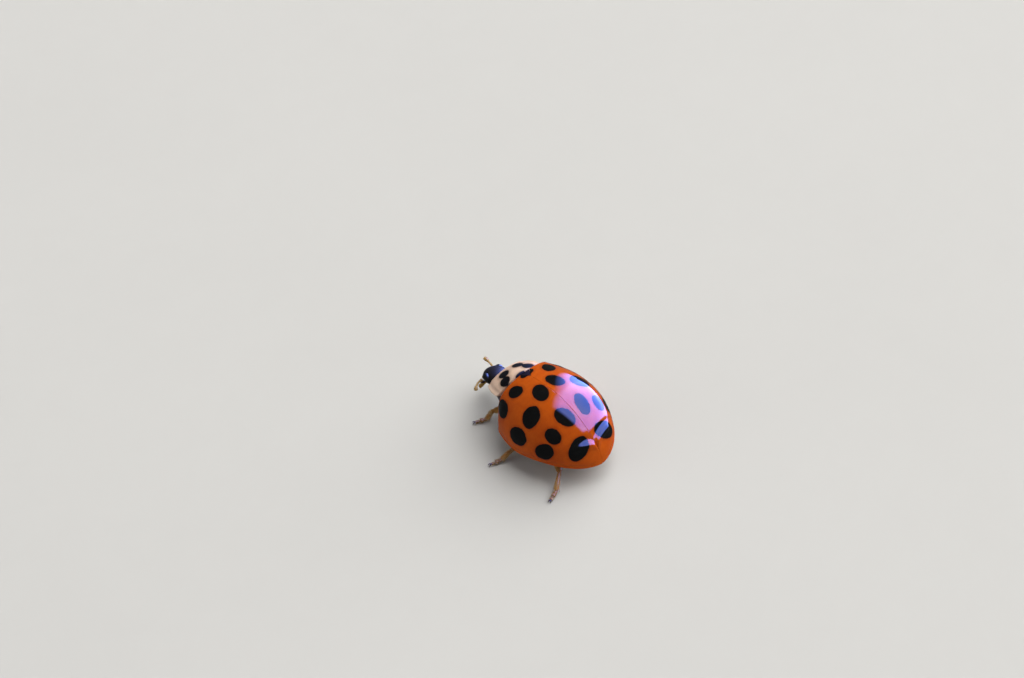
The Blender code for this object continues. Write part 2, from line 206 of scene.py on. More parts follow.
def dome(t, reach, depth=0.0, lip=BASE_LIP):
    """Points of the dome at share t of the length and reach -1 to 1 of the half-width.

    Across, the section is x = w·reach and z = h·cos^0.915 of the angle whose
    sine is reach. The shoulders reach forward and round in, the margins arch
    up behind, and the base runs on forward as a lip. depth shrinks the dome
    towards the middle of its base.
    """
    t, reach = np.broadcast_arrays(np.asarray(t, float), np.asarray(reach, float))
    angle = np.arcsin(np.clip(reach, -1, 1))
    side, out = np.abs(angle) / (math.pi / 2), np.abs(reach)
    tuck = 1 - SHOULDER_TUCK * np.clip((side - 0.45) / 0.45, 0, 1) * np.clip(1 - t / 0.10, 0, None) ** 2
    arch = np.sin(math.pi * np.clip((t - 0.35) / 0.65, 0, 1))
    x = dome_half_width(t) * tuck * reach
    run_on = lip * (1 - out ** 6) * np.clip(1 - t / 0.12, 0, None) ** 2
    y = CASE_LENGTH * t - BASE_SWEEP * out ** 2 * (1 - t) ** 2 - run_on
    z = dome_height(t) * tuck * np.clip(np.cos(angle), 0, None) ** SECTION_POWER + MARGIN_ARCH * arch * out ** 3
    shrink = 1 - depth / np.array([CASE_HALF_WIDTH, CASE_LENGTH, CASE_HEIGHT])
    return np.stack([x, y, z], -1) * shrink


def posed(points):
    """Points of the forebody: leaned about its fore-and-aft axis, turned and shifted."""
    turn = np.array(rotation(FOREBODY_YAW, "Z") @ rotation(FOREBODY_LEAN, "Y"))
    axis = (0.0, 0.0, LEAN_AXIS_HEIGHT)
    return (points - axis) @ turn.T + axis + FOREBODY_SHIFT


def shield_surface(a, b, drop=0.0):
    """Points of the shield, a -1 to 1 across and b 0 to 1 from back to front.

    The crest falls by a square law towards both sides and the front, and the
    front corners are drawn in a little.
    """
    a, b = np.broadcast_arrays(np.asarray(a, float), np.asarray(b, float))
    across = np.sin(a * math.pi / 2)
    bow, run = across ** 2, 0.15 + 0.85 * b
    crest = 2.14 - 0.32 * run - 0.46 * run * run
    edge = 1.36 - 0.09 * run - 0.46 * run * run
    back, front = -0.27 - 0.16 * bow, -SHIELD_FRONT - 0.12 * bow
    corner = np.abs(across) ** 14 * (0.2 * b ** 6 + 0.5 * (1 - b) ** 6)
    x = SHIELD_HALF_WIDTH * (1 + 0.12 * run - 0.31 * run * run) * across * (1 - 0.06 * corner)
    y = back + (front - back) * b + 0.16 * corner * (2 * b - 1)
    return np.stack([x, y, crest - (crest - edge) * bow - drop], -1)


def head_turn():
    """The head's turn: leaned about its own axis, nodded, then turned to its left."""
    return np.array(rotation(HEAD_YAW, "Z") @ rotation(HEAD_NOD, "X") @ rotation(HEAD_LEAN, "Y"))


def on_head(points):
    """Points given from the head's centre, in the ladybird's own directions."""
    return np.asarray(points, float) @ head_turn().T + HEAD_CENTRE


# --- grids, skins and swept tubes --------------------------------------------

def grid_faces(rows, columns, wrap=False):
    """Quads of a grid of points kept row by row. Where it wraps, the last column joins the first."""
    across = np.arange(columns if wrap else columns - 1)
    first = np.arange(rows - 1)[:, None] * columns
    a, b = first + across, first + (across + 1) % columns
    return np.stack([a, b, b + columns, a + columns], -1).reshape(-1, 4)


def grid_normals(points, outward_from):
    """Unit normals of a grid: the cross product of its two directions, turned away from a point.

    Where a row has shrunk to a pole, the normal is that of the row beside it.
    """
    along, across = np.gradient(points, axis=0), np.gradient(points, axis=1)
    normal = np.cross(across, along)
    size = np.linalg.norm(normal, axis=-1, keepdims=True)
    unit = normal / np.maximum(size, 1e-12)
    for row, beside in ((0, 1), (-1, -2)):
        if size[row].max() < 1e-7:
            unit[row] = unit[beside].mean(0) / np.linalg.norm(unit[beside].mean(0))
    away = np.sum(unit * (points - outward_from), -1)
    return unit * np.sign(np.median(away))


def run_lengths(points, axis):
    """Distance from the first point, along one direction of a grid."""
    steps = np.linalg.norm(np.diff(points, axis=axis), axis=-1)
    return np.concatenate([np.zeros_like(np.take(steps, [0], axis)), np.cumsum(steps, axis)], axis)


def rounding(distance, radius):
    """Quarter-round: 0 at an edge, 1 from the radius inwards."""
    inward = np.clip(distance / np.maximum(radius, 1e-9), 0, 1)
    return np.sqrt(np.clip(1 - (1 - inward) ** 2, 0, 1))


def plate(surface, normals, thickness, edge, relief=0.0):
    """A closed plate under a surface, its edges rounded over.

    The outer face lies T/2·(1 - e) under the surface and the inner one
    T/2·(1 + e), with T the thickness and e the rounding, so both meet where e
    is 0. relief raises the outer face along the normals.
    """
    half = np.broadcast_to(np.asarray(thickness, float), edge.shape)[..., None] / 2
    e = edge[..., None]
    raised = np.broadcast_to(relief, edge.shape)[..., None] * e
    outer = surface - normals * (half * (1 - e)) + normals * raised
    inner = surface - normals * (half * (1 + e))
    rows, columns = edge.shape
    faces = grid_faces(rows, columns)
    points = np.concatenate([outer.reshape(-1, 3), inner.reshape(-1, 3)])
    return points, np.concatenate([faces, faces[:, ::-1] + rows * columns])


def skin(rings):
    """A closed skin through rings of points (stations × around × 3), each end drawn in to its middle."""
    ends = [np.broadcast_to(rings[k].mean(0), rings[k].shape)[None] for k in (0, -1)]
    rings = np.concatenate([ends[0], rings, ends[1]])
    return rings.reshape(-1, 3), grid_faces(rings.shape[0], rings.shape[1], wrap=True)


def drawn_in(rings, rounded, least):
    """Rings drawn in towards their middles, from least where rounded is 0 to full size where it is 1."""
    middle = rings.mean(1, keepdims=True)
    return middle + (rings - middle) * (least + (1 - least) * rounded)[:, None, None]


def path_points(points, shares):
    """Points at the given shares of a natural cubic spline through the control points."""
    p = np.asarray(points, float)
    d = np.concatenate([[0], np.cumsum(np.linalg.norm(np.diff(p, axis=0), axis=1))])
    h, n = np.diff(d), len(p)
    matrix, right = np.eye(n), np.zeros((n, 3))
    if n > 2:
        i = np.arange(1, n - 1)
        matrix[i, i - 1], matrix[i, i], matrix[i, i + 1] = h[:-1], 2 * (h[:-1] + h[1:]), h[1:]
        right[i] = 6 * ((p[2:] - p[1:-1]) / h[1:, None] - (p[1:-1] - p[:-2]) / h[:-1, None])
    bend = np.linalg.solve(matrix, right)
    s = np.asarray(shares, float) * d[-1]
    k = np.clip(np.searchsorted(d, s, side="right") - 1, 0, n - 2)
    left, ahead, width = (s - d[k])[:, None], (d[k + 1] - s)[:, None], h[k][:, None]
    return ((bend[k] * ahead ** 3 + bend[k + 1] * left ** 3) / (6 * width)
            + (p[k] / width - bend[k] * width / 6) * ahead + (p[k + 1] / width - bend[k + 1] * width / 6) * left)


def profile(shares, stops, values):
    """Values at the shares, eased from one stop to the next."""
    stops, values = np.asarray(stops, float), np.asarray(values, float)
    k = np.clip(np.searchsorted(stops, shares, side="right") - 1, 0, len(stops) - 2)
    local = (shares - stops[k]) / (stops[k + 1] - stops[k])
    return values[k] + (values[k + 1] - values[k]) * eased(local)


def crowded(count):
    """Shares from 0 to 1 that crowd towards both ends: (1 - cos πu) / 2."""
    return 0.5 - 0.5 * np.cos(math.pi * np.linspace(0, 1, count))


QUARTER_TURN = 1 - np.cos(np.linspace(0, math.pi / 2, 8))


def edged(edge, count):
    """Shares from 0 to 1, even in the middle and crowded within the edge at both ends."""
    return np.concatenate([edge * QUARTER_TURN[:-1], np.linspace(edge, 1 - edge, count)[:-1],
                           1 - edge * QUARTER_TURN[::-1]])


def girth(stops, values, scale=1.0):
    """A rule for a tube's half-width, eased from one stop to the next."""
    return lambda s: scale * profile(s, stops, values)


class Tube:
    """A tube carried along a path: an ellipse of half-widths across and up at each station.

    The points are centre + across·cos φ·side + up·sin φ·top, with rounded
    ends. It keeps its rings, normals and directions for rooting bristles.
    """

    def __init__(self, points, across, up, stations=40, around=20, round_ends=(0.8, 0.8),
                 upward=(0, 0, 1), shares=None):
        s = crowded(stations) if shares is None else shares
        centre = path_points(points, s)
        length = np.linalg.norm(np.diff(centre, axis=0), axis=1).sum()
        direction = np.gradient(centre, axis=0)
        direction /= np.linalg.norm(direction, axis=1, keepdims=True)
        side = np.cross(direction, np.asarray(upward, float))
        side /= np.linalg.norm(side, axis=1, keepdims=True)
        top = np.cross(side, direction)
        a = across(s) if callable(across) else np.full(len(s), float(across))
        b = up(s) if callable(up) else np.full(len(s), float(up))
        ends = (rounding(s * length, a[0] * round_ends[0] + 1e-6)
                * rounding((1 - s) * length, a[-1] * round_ends[1] + 1e-6))
        a, b = a * ends, b * ends
        phi = np.linspace(0, 2 * math.pi, around, endpoint=False)[None, :, None]

        def oval(wide, high):
            return (side[:, None] * (np.cos(phi) * wide[:, None, None])
                    + top[:, None] * (np.sin(phi) * high[:, None, None]))

        self.rings = centre[:, None] + oval(a, b)
        flat = oval(b, a)
        self.normals = flat / np.maximum(np.linalg.norm(flat, axis=-1, keepdims=True), 1e-9)
        self.direction, self.shares = direction, s

    def shell(self):
        """The tube's closed skin."""
        return skin(self.rings)


def ball(centre, radii, turn=None, around=28, rings=18, relief=None):
    """An ellipsoid with its poles fore and aft, each point moved out by a relief of its unit direction."""
    theta = np.linspace(0, math.pi, rings)[:, None]
    phi = np.linspace(0, 2 * math.pi, around, endpoint=False)[None, :]
    fore = -np.cos(theta) * np.ones_like(phi)
    unit = np.stack([np.sin(theta) * np.cos(phi), fore, np.sin(theta) * np.sin(phi)], -1)
    points = unit * np.asarray(radii, float)
    if relief is not None:
        points = relief(unit, points)
    if turn is not None:
        points = points @ np.asarray(turn, float).T
    points = points + np.asarray(centre, float)
    return points.reshape(-1, 3), grid_faces(rings, around, wrap=True)


def mirrored(points, sign):
    """The same points on the left (1) or the right (-1) side."""
    return np.asarray(points, float) * (sign, 1.0, 1.0)


def oval_distance(points, centre, along, across, half_along, half_across):
    """Signed distance in mm to an oval mark on a curved surface, negative inside.

    It is r - r/q, with r the straight distance from the centre and q the
    distance in shares of the oval's half-lengths.
    """
    delta = points - centre
    a, b = delta @ along, delta @ across
    straight = np.linalg.norm(delta, axis=-1)
    share = np.hypot(a / half_along, b / half_across) * straight / np.maximum(np.hypot(a, b), 1e-9)
    return np.where(straight < 1e-6, -min(half_along, half_across), straight - straight / np.maximum(share, 1e-9))


def surface_oval(points, surface, u, v, half_along, half_across, turn, steps=(0.004, 0.004)):
    """The distance to an oval whose centre is surface(u, v), its long axis turned from direction u towards v.

    steps are the small moves in u and v that give the two directions.
    """
    centre = surface(u, v)
    along = surface(u + steps[0], v) - surface(u - steps[0], v)
    along = along / np.linalg.norm(along)
    across = surface(u, v + steps[1]) - surface(u, v - steps[1])
    across = across - along * (across @ along)
    across = across / np.linalg.norm(across)
    c, s = math.cos(math.radians(turn)), math.sin(math.radians(turn))
    return oval_distance(points, centre, along * c + across * s, across * c - along * s, half_along, half_across)


# --- meshes and pieces -------------------------------------------------------

def mesh_of(name, shells, values=None, uv=None):
    """One smooth mesh of closed shells, merged at seams and poles, its faces outwards.

    values are named numbers, one for each point. uv is one pair for each point.
    """
    starts = np.cumsum([0] + [len(points) for points, _ in shells])
    points = place(np.concatenate([points for points, _ in shells]))
    faces = [f + start for (_, f), start in zip(shells, starts)]
    loops = np.concatenate([f.ravel() for f in faces])
    totals = np.concatenate([np.full(len(f), f.shape[1]) for f in faces])
    mesh = bpy.data.meshes.new(name)
    mesh.vertices.add(len(points))
    mesh.vertices.foreach_set("co", points.ravel())
    mesh.loops.add(len(loops))
    mesh.loops.foreach_set("vertex_index", loops)
    mesh.polygons.add(len(totals))
    mesh.polygons.foreach_set("loop_start", np.cumsum(totals) - totals)
    mesh.polygons.foreach_set("loop_total", totals)
    for key, numbers in (values or {}).items():
        made = mesh.attributes.new(key, "FLOAT", "POINT")
        made.data.foreach_set("value", np.asarray(numbers, np.float32).ravel())
    if uv is not None:
        mesh.uv_layers.new(name="OFBake").data.foreach_set("uv", np.asarray(uv, np.float32)[loops].ravel())
    mesh.update(calc_edges=True)
    mesh.validate()
    bm = bmesh.new()
    bm.from_mesh(mesh)
    bmesh.ops.remove_doubles(bm, verts=bm.verts, dist=1e-8)
    bmesh.ops.recalc_face_normals(bm, faces=bm.faces)
    bm.to_mesh(mesh)
    bm.free()
    mesh.shade_smooth()
    return mesh


def add_piece(name, shells, finish, slot, *nodes, values=None, uv=None):
    """One finished piece made of closed shells, fixed to the body, standing for its solids."""
    mesh = mesh_of(name, shells, values, uv)
    mesh.materials.append(finish)
    piece = bpy.data.objects.new(name, mesh)
    bpy.context.scene.collection.objects.link(piece)
    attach(piece, "root")
    if nodes:
        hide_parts(*nodes)
    return piece


# --- finishes ----------------------------------------------------------------

def node_group(name, inputs, outputs):
    """A new shader group with named sockets, and the nodes that its inputs and outputs hang on."""
    group = bpy.data.node_groups.new(name, "ShaderNodeTree")
    for key, kind, default in inputs:
        socket = group.interface.new_socket(key, in_out="INPUT", socket_type=kind)
        socket.default_value = default
    for key, kind in outputs:
        group.interface.new_socket(key, in_out="OUTPUT", socket_type=kind)
    return group, group.nodes.new("NodeGroupInput"), group.nodes.new("NodeGroupOutput")


def feed(tree, socket, value):
    """Give an input a socket to read, a number or a colour."""
    if isinstance(value, bpy.types.NodeSocket):
        tree.links.new(value, socket)
    elif isinstance(value, (int, float)):
        socket.default_value = value
    else:
        socket.default_value = (*value[:3], 1.0)


def times(colour, factor):
    """A colour with each channel multiplied."""
    return tuple(factor * c for c in colour)


def maths(tree, operation, a, b, clamp=False):
    """A Math node on sockets or plain numbers; returns its result socket."""
    node = tree.nodes.new("ShaderNodeMath")
    node.operation, node.use_clamp = operation, clamp
    feed(tree, node.inputs[0], a)
    feed(tree, node.inputs[1], b)
    return node.outputs[0]


def blended(tree, factor, a, b):
    """A colour Mix node; returns its result socket."""
    node = tree.nodes.new("ShaderNodeMix")
    node.data_type = "RGBA"
    for socket, value in zip((node.inputs[0], node.inputs[6], node.inputs[7]), (factor, a, b)):
        feed(tree, socket, value)
    return node.outputs[2]


def texture(tree, kind, scale, **settings):
    """A Noise or Voronoi texture on Object coordinates; scale is in repeats per metre."""
    node = tree.nodes.new(f"ShaderNodeTex{kind}")
    coordinates = tree.nodes.new("ShaderNodeTexCoord")
    tree.links.new(coordinates.outputs["Object"], node.inputs["Vector"])
    feed(tree, node.inputs["Scale"], scale)
    for key, value in settings.items():
        node.inputs[key].default_value = value
    return node


def mottling_group():
    """Pigment: a colour varied softly towards a second one by two sizes of noise."""
    if "chitin pigment" in bpy.data.node_groups:
        return bpy.data.node_groups["chitin pigment"]
    group, start, end = node_group("chitin pigment", (
        ("Colour", "NodeSocketColor", (0.5, 0.1, 0.01, 1)),
        ("Second Colour", "NodeSocketColor", (0.3, 0.05, 0.01, 1)),
        ("Scale", "NodeSocketFloat", 900.0), ("Amount", "NodeSocketFloat", 0.5)), (("Colour", "NodeSocketColor"),))
    broad = texture(group, "Noise", start.outputs["Scale"], Detail=2.0, Roughness=0.5)
    fine = texture(group, "Noise", maths(group, "MULTIPLY", start.outputs["Scale"], 9.0), Detail=3.0, Roughness=0.6)
    both = maths(group, "ADD", maths(group, "MULTIPLY", broad.outputs[0], 0.65),
                 maths(group, "MULTIPLY", fine.outputs[0], 0.35))
    spread = maths(group, "MULTIPLY", maths(group, "SUBTRACT", both, 0.36), 3.2, clamp=True)
    share = maths(group, "MULTIPLY", spread, start.outputs["Amount"], clamp=True)
    pigment = blended(group, share, start.outputs["Colour"], start.outputs["Second Colour"])
    group.links.new(pigment, end.inputs["Colour"])
    return group


def pits_group():
    """Fine punctures: a small round pit in each cell of a Voronoi pattern, with faint unevenness between."""
    if "cuticle pits" in bpy.data.node_groups:
        return bpy.data.node_groups["cuticle pits"]
    group, start, end = node_group("cuticle pits", (
        ("Scale", "NodeSocketFloat", 12000.0), ("Pit Size", "NodeSocketFloat", 0.22),
        ("Unevenness", "NodeSocketFloat", 0.3)), (("Height", "NodeSocketFloat"),))
    cells = texture(group, "Voronoi", start.outputs["Scale"], Randomness=0.85)
    floor = maths(group, "DIVIDE", cells.outputs["Distance"], start.outputs["Pit Size"], clamp=True)
    soft = texture(group, "Noise", maths(group, "MULTIPLY", start.outputs["Scale"], 0.25), Detail=2.0)
    wave = maths(group, "MULTIPLY", soft.outputs[0], start.outputs["Unevenness"])
    group.links.new(maths(group, "ADD", floor, wave), end.inputs["Height"])
    return group


def mark_group():
    """A mark with a slightly ragged, soft edge, from the signed distance to it in mm."""
    if "mark edge" in bpy.data.node_groups:
        return bpy.data.node_groups["mark edge"]
    group, start, end = node_group("mark edge", (
        ("Distance", "NodeSocketFloat", 0.0), ("Softness", "NodeSocketFloat", 0.03),
        ("Raggedness", "NodeSocketFloat", 0.03)), (("Mark", "NodeSocketFloat"), ("Fringe", "NodeSocketFloat")))
    ragged = texture(group, "Noise", 3200.0, Detail=2.0, Roughness=0.6)
    shift = maths(group, "MULTIPLY", maths(group, "SUBTRACT", ragged.outputs[0], 0.5), start.outputs["Raggedness"])
    moved = maths(group, "ADD", start.outputs["Distance"], maths(group, "MULTIPLY", shift, 2.0))
    inner = maths(group, "DIVIDE", moved, start.outputs["Softness"])
    group.links.new(maths(group, "SUBTRACT", 0.5, inner, clamp=True), end.inputs["Mark"])
    outer = maths(group, "DIVIDE", moved, maths(group, "MULTIPLY", start.outputs["Softness"], 5.0))
    group.links.new(maths(group, "SUBTRACT", 1.0, outer, clamp=True), end.inputs["Fringe"])
    return group


def use_group(tree, group, **values):
    """Place a group in a material and set its inputs to numbers, colours or sockets."""
    node = tree.nodes.new("ShaderNodeGroup")
    node.node_tree = group
    for key, value in values.items():
        feed(tree, node.inputs[key.replace("_", " ")], value)
    return node


def bump_from(tree, shader, height, distance):
    """A Bump node of the given depth in metres on the shader's normal."""
    bump = tree.nodes.new("ShaderNodeBump")
    bump.inputs["Strength"].default_value = 1.0
    bump.inputs["Distance"].default_value = distance
    tree.links.new(height, bump.inputs["Height"])
    tree.links.new(bump.outputs["Normal"], shader.inputs["Normal"])


def new_finish(name, roughness, **sockets):
    """A material with its Principled shader, uniform values set on its own sockets."""
    made = bpy.data.materials.new(name)
    made.use_nodes = True
    shader = made.node_tree.nodes["Principled BSDF"]
    shader.inputs["Roughness"].default_value = roughness
    for key, value in sockets.items():
        shader.inputs[key.replace("_", " ")].default_value = value
    return made, made.node_tree, shader


def pitted(tree, shader, depth, **pits):
    """Fine pits of the given depth in metres on a shader."""
    height = use_group(tree, pits_group(), **pits)
    bump_from(tree, shader, height.outputs["Height"], depth)


def attribute(tree, name):
    """The socket of one of the mesh's own named numbers."""
    node = tree.nodes.new("ShaderNodeAttribute")
    node.attribute_name = name
    return node.outputs["Fac"]


def marked_finish(name, attribute_name, ground, second, mark, fringe, softness, ragged, pits, depth, **sockets):
    """A glossy plate of one pigment with darker marks, pitted by fine punctures."""
    if name in bpy.data.materials:
        return bpy.data.materials[name]
    made, tree, shader = new_finish(name, **sockets)
    pigment = use_group(tree, mottling_group(), Colour=ground, Second_Colour=second, Scale=700.0, Amount=0.6)
    edge = use_group(tree, mark_group(), Distance=attribute(tree, attribute_name), Softness=softness,
                     Raggedness=ragged)
    fringed = blended(tree, maths(tree, "MULTIPLY", edge.outputs["Fringe"], 0.45), pigment.outputs[0], fringe)
    dark = use_group(tree, mottling_group(), Colour=mark, Second_Colour=times(mark, 2.2), Scale=1500.0, Amount=0.6)
    tree.links.new(blended(tree, edge.outputs["Mark"], fringed, dark.outputs[0]), shader.inputs["Base Color"])
    pitted(tree, shader, depth, Scale=pits, Pit_Size=0.20, Unevenness=0.35)
    return made


def plain_finish(name, colour, second, scale, pits, depth, **sockets):
    """A plate or limb of one softly varied pigment, finely pitted."""
    if name in bpy.data.materials:
        return bpy.data.materials[name]
    made, tree, shader = new_finish(name, **sockets)
    pigment = use_group(tree, mottling_group(), Colour=colour, Second_Colour=second, Scale=scale, Amount=0.7)
    tree.links.new(pigment.outputs[0], shader.inputs["Base Color"])
    pitted(tree, shader, depth, Scale=pits, Pit_Size=0.30, Unevenness=0.6)
    return made


def eye_finish(colour):
    """Black glossy eye, its facets a fine Voronoi pattern of low domes."""
    if "faceted eye" in bpy.data.materials:
        return bpy.data.materials["faceted eye"]
    made, tree, shader = new_finish("faceted eye", 0.30, Specular_IOR_Level=0.30, Coat_Weight=0.25,
                                    Coat_Roughness=0.20)
    pigment = use_group(tree, mottling_group(), Colour=colour, Second_Colour=times(colour, 1.8), Scale=5000.0,
                        Amount=0.8)
    tree.links.new(pigment.outputs[0], shader.inputs["Base Color"])
    facets = texture(tree, "Voronoi", 48000.0, Randomness=0.15)
    bump_from(tree, shader, maths(tree, "SUBTRACT", 1.0, facets.outputs["Distance"]), 6e-6)
    return made


def limb_finish():
    """Yellow-brown thighs and shins, a little translucent."""
    colours = bpy.context.scene.ladybird_colours
    return plain_finish("limb chitin", colours.limb, colours.limb_shade, 1600.0, 26000.0, 3e-6,
                        roughness=0.38, Specular_IOR_Level=0.30, Subsurface_Weight=0.15, Subsurface_Scale=0.0002,
                        Subsurface_Radius=(1.0, 0.5, 0.2), Coat_Weight=0.10, Coat_Roughness=0.2)


def foot_finish():
    """Brown feet."""
    colours = bpy.context.scene.ladybird_colours
    return plain_finish("foot chitin", colours.foot, times(colours.foot, 0.6), 2400.0, 30000.0, 3e-6,
                        roughness=0.42, Specular_IOR_Level=0.30, Coat_Weight=0.08, Coat_Roughness=0.25)


def claw_finish():
    """Dark, smooth horn of claws and jaws."""
    return plain_finish("claw horn", (0.070, 0.022, 0.008), (0.030, 0.010, 0.006), 6000.0, 40000.0, 1e-6,
                        roughness=0.22, Coat_Weight=0.5, Coat_Roughness=0.12)


def bristle_finish():
    """Pale golden bristles, a little translucent."""
    colours = bpy.context.scene.ladybird_colours
    return plain_finish("pale bristle", colours.bristle, times(colours.bristle, 0.7), 9000.0, 60000.0, 4e-7,
                        roughness=0.40, Sheen_Weight=0.15)


# --- wing cases, scutellum and shield ----------------------------------------

def wing_case_shell(spot_table):
    """A wing case, drawn as a left one: points, faces and the distances to its spots and rims.

    Rows run from base to tip and columns from the suture, where the case is
    parted from its twin and from the scutellum, to the margin. The relief is a
    fine bead along suture and rim, a shallow gutter inside the rim, a low
    shoulder boss and, near the tip, a cross ridge, bowed forward towards the
    margin, with a hollow ahead of it.
    """
    shape = bpy.context.scene.ladybird_shape
    t = np.concatenate([0.016 * QUARTER_TURN[:-1], np.linspace(0.016, 0.35, 52)[:-1],
                        0.35 + 0.65 * np.sin(np.linspace(0, math.pi / 2, 132))])
    v = np.concatenate([0.018 * QUARTER_TURN[:-1], np.linspace(0.018, 0.90, 76)[:-1],
                        np.linspace(0.90, 0.97, 14)[:-1], 1 - 0.03 * QUARTER_TURN[::-1]])
    T, V = np.meshgrid(t, v, indexing="ij")
    ahead = SCUTELLUM_TIP - dome(T, 0.0)[..., 1]
    parting = np.maximum(PARTING / 2, SCUTELLUM_HALF_WIDTH * ahead / (SCUTELLUM_TIP + BASE_LIP) + 0.02)
    share = np.minimum(parting / np.maximum(dome_half_width(T), 1e-6), 0.5)
    reach = share + (1 - share) * np.sin(V * math.pi / 2)
    surface = dome(T, reach)
    normals = grid_normals(surface, (0.0, 2.0, 0.0))
    normals[-1] = (0.0, 1.0, 0.0)

    across, along = run_lengths(surface, 1), run_lengths(surface, 0)
    width = across[:, -1:]
    from_rim, from_tip = width - across, along[-1:] - along
    edge = (rounding(across, np.minimum(0.004, 0.12 * width))
            * rounding(from_rim, np.minimum(0.09, 0.12 * width))
            * rounding(along, 0.04) * rounding(from_tip, 0.05))
    side = np.arcsin(np.clip(reach, 0, 1)) / (math.pi / 2)
    tip_fade = eased(from_tip / 0.5)
    across_window = eased((side + 0.03) / 0.12) * eased((0.62 - side) / 0.15)
    ridge, bow = shape.tip_ridge / MM, 0.15 * (side - 0.3)
    relief = tip_fade * (0.003 * hump(across, 0.04, 0.03) + 0.014 * hump(from_rim, 0.05, 0.05)
                         - 0.034 * hump(from_rim, 0.20, 0.08) * eased(width / 1.5))
    relief += across_window * (ridge * hump(T, 0.885 - bow, 0.025) - 0.025 * hump(T, 0.840 - bow, 0.020))
    relief += 0.035 * hump(side, 0.62, 0.10) * hump(T, 0.055, 0.035)
    relief += 0.006 * np.sin(9 * T + 2.0) * np.sin(5 * side + 1.0)
    thickness = shape.case_wall / MM * (1 - 0.75 * eased(1 - from_tip / 0.8))
    points, faces = plate(surface, normals, thickness, edge, relief)

    def at(t, degrees):
        return dome(t, math.sin(math.radians(degrees)))

    grow = shape.spot_size
    shared_length, shared_width = SHARED_SPOT
    backwards, sideways = np.array([0.0, 1.0, 0.0]), np.array([1.0, 0.0, 0.0])
    spots = np.minimum(UNMARKED, oval_distance(surface, dome(SHARED_SPOT_AT, 0.0), backwards, sideways,
                                               shared_length * grow, shared_width * grow))
    for share_along, degrees, half_along, half_across, turn in spot_table:
        spots = np.minimum(spots, surface_oval(surface, at, share_along, degrees, half_along * grow,
                                               half_across * grow, turn, steps=(0.004, 0.4)))
    rim = np.minimum(from_rim + 0.02, along + 0.03)
    return points, faces, np.tile(spots.ravel(), 2), np.tile(rim.ravel(), 2)


def case_finish():
    """Orange wing case with soft-edged black spots under a clear gloss, deeper in tone at the rims."""
    if "orange wing case" in bpy.data.materials:
        return bpy.data.materials["orange wing case"]
    colours = bpy.context.scene.ladybird_colours
    made, tree, shader = new_finish("orange wing case", 0.34, Coat_Weight=1.0, Coat_Roughness=0.05, Coat_IOR=1.40,
                                    Specular_IOR_Level=0.0, Subsurface_Weight=0.08, Subsurface_Scale=0.0002,
                                    Subsurface_Radius=(1.0, 0.3, 0.1))
    pigment = use_group(tree, mottling_group(), Colour=colours.case, Second_Colour=colours.case_shade,
                        Scale=520.0, Amount=0.75)
    specks = texture(tree, "Voronoi", 14000.0, Randomness=0.9)
    speck = maths(tree, "SUBTRACT", 1.0, maths(tree, "DIVIDE", specks.outputs["Distance"], 0.28), clamp=True)
    speckled = blended(tree, maths(tree, "MULTIPLY", speck, 0.22), pigment.outputs[0], colours.case_shade)
    rim = maths(tree, "SUBTRACT", 1.0, maths(tree, "DIVIDE", attribute(tree, "rim"), 0.07), clamp=True)
    rimmed = blended(tree, maths(tree, "MULTIPLY", rim, 0.55), speckled, times(colours.case_shade, 0.55))
    edge = use_group(tree, mark_group(), Distance=attribute(tree, "spot"), Softness=0.030, Raggedness=0.045)
    fringed = blended(tree, maths(tree, "MULTIPLY", edge.outputs["Fringe"], 0.40), rimmed,
                      times(colours.case_shade, 0.45))
    black = use_group(tree, mottling_group(), Colour=colours.spot, Second_Colour=times(colours.spot, 2.5),
                      Scale=1500.0, Amount=0.6)
    tree.links.new(blended(tree, edge.outputs["Mark"], fringed, black.outputs[0]), shader.inputs["Base Color"])
    dulled = maths(tree, "SUBTRACT", 1.0, maths(tree, "MULTIPLY", edge.outputs["Mark"], 0.25))
    tree.links.new(dulled, shader.inputs["Coat Weight"])
    pitted(tree, shader, 2.5e-6, Scale=13500.0, Pit_Size=0.18, Unevenness=0.30)
    return made


class LADYBIRD_OT_wing_cases(bpy.types.Operator):
    """Make both spotted wing cases"""
    bl_idname = "ladybird.wing_cases"
    bl_label = "Wing cases"

    def execute(self, context):
        right_spots = [RIGHT_SPOTS.get(k, spot) for k, spot in enumerate(SPOTS)]
        for (side, sign), spot_table in zip(SIDES, (SPOTS, right_spots)):
            points, faces, spots, rim = wing_case_shell(spot_table)
            add_piece(f"wing_case_{side}", [(mirrored(points, sign), faces)], case_finish(), "wing_cases",
                      f"elytron_{side}", values={"spot": spots, "rim": rim})
        return {"FINISHED"}


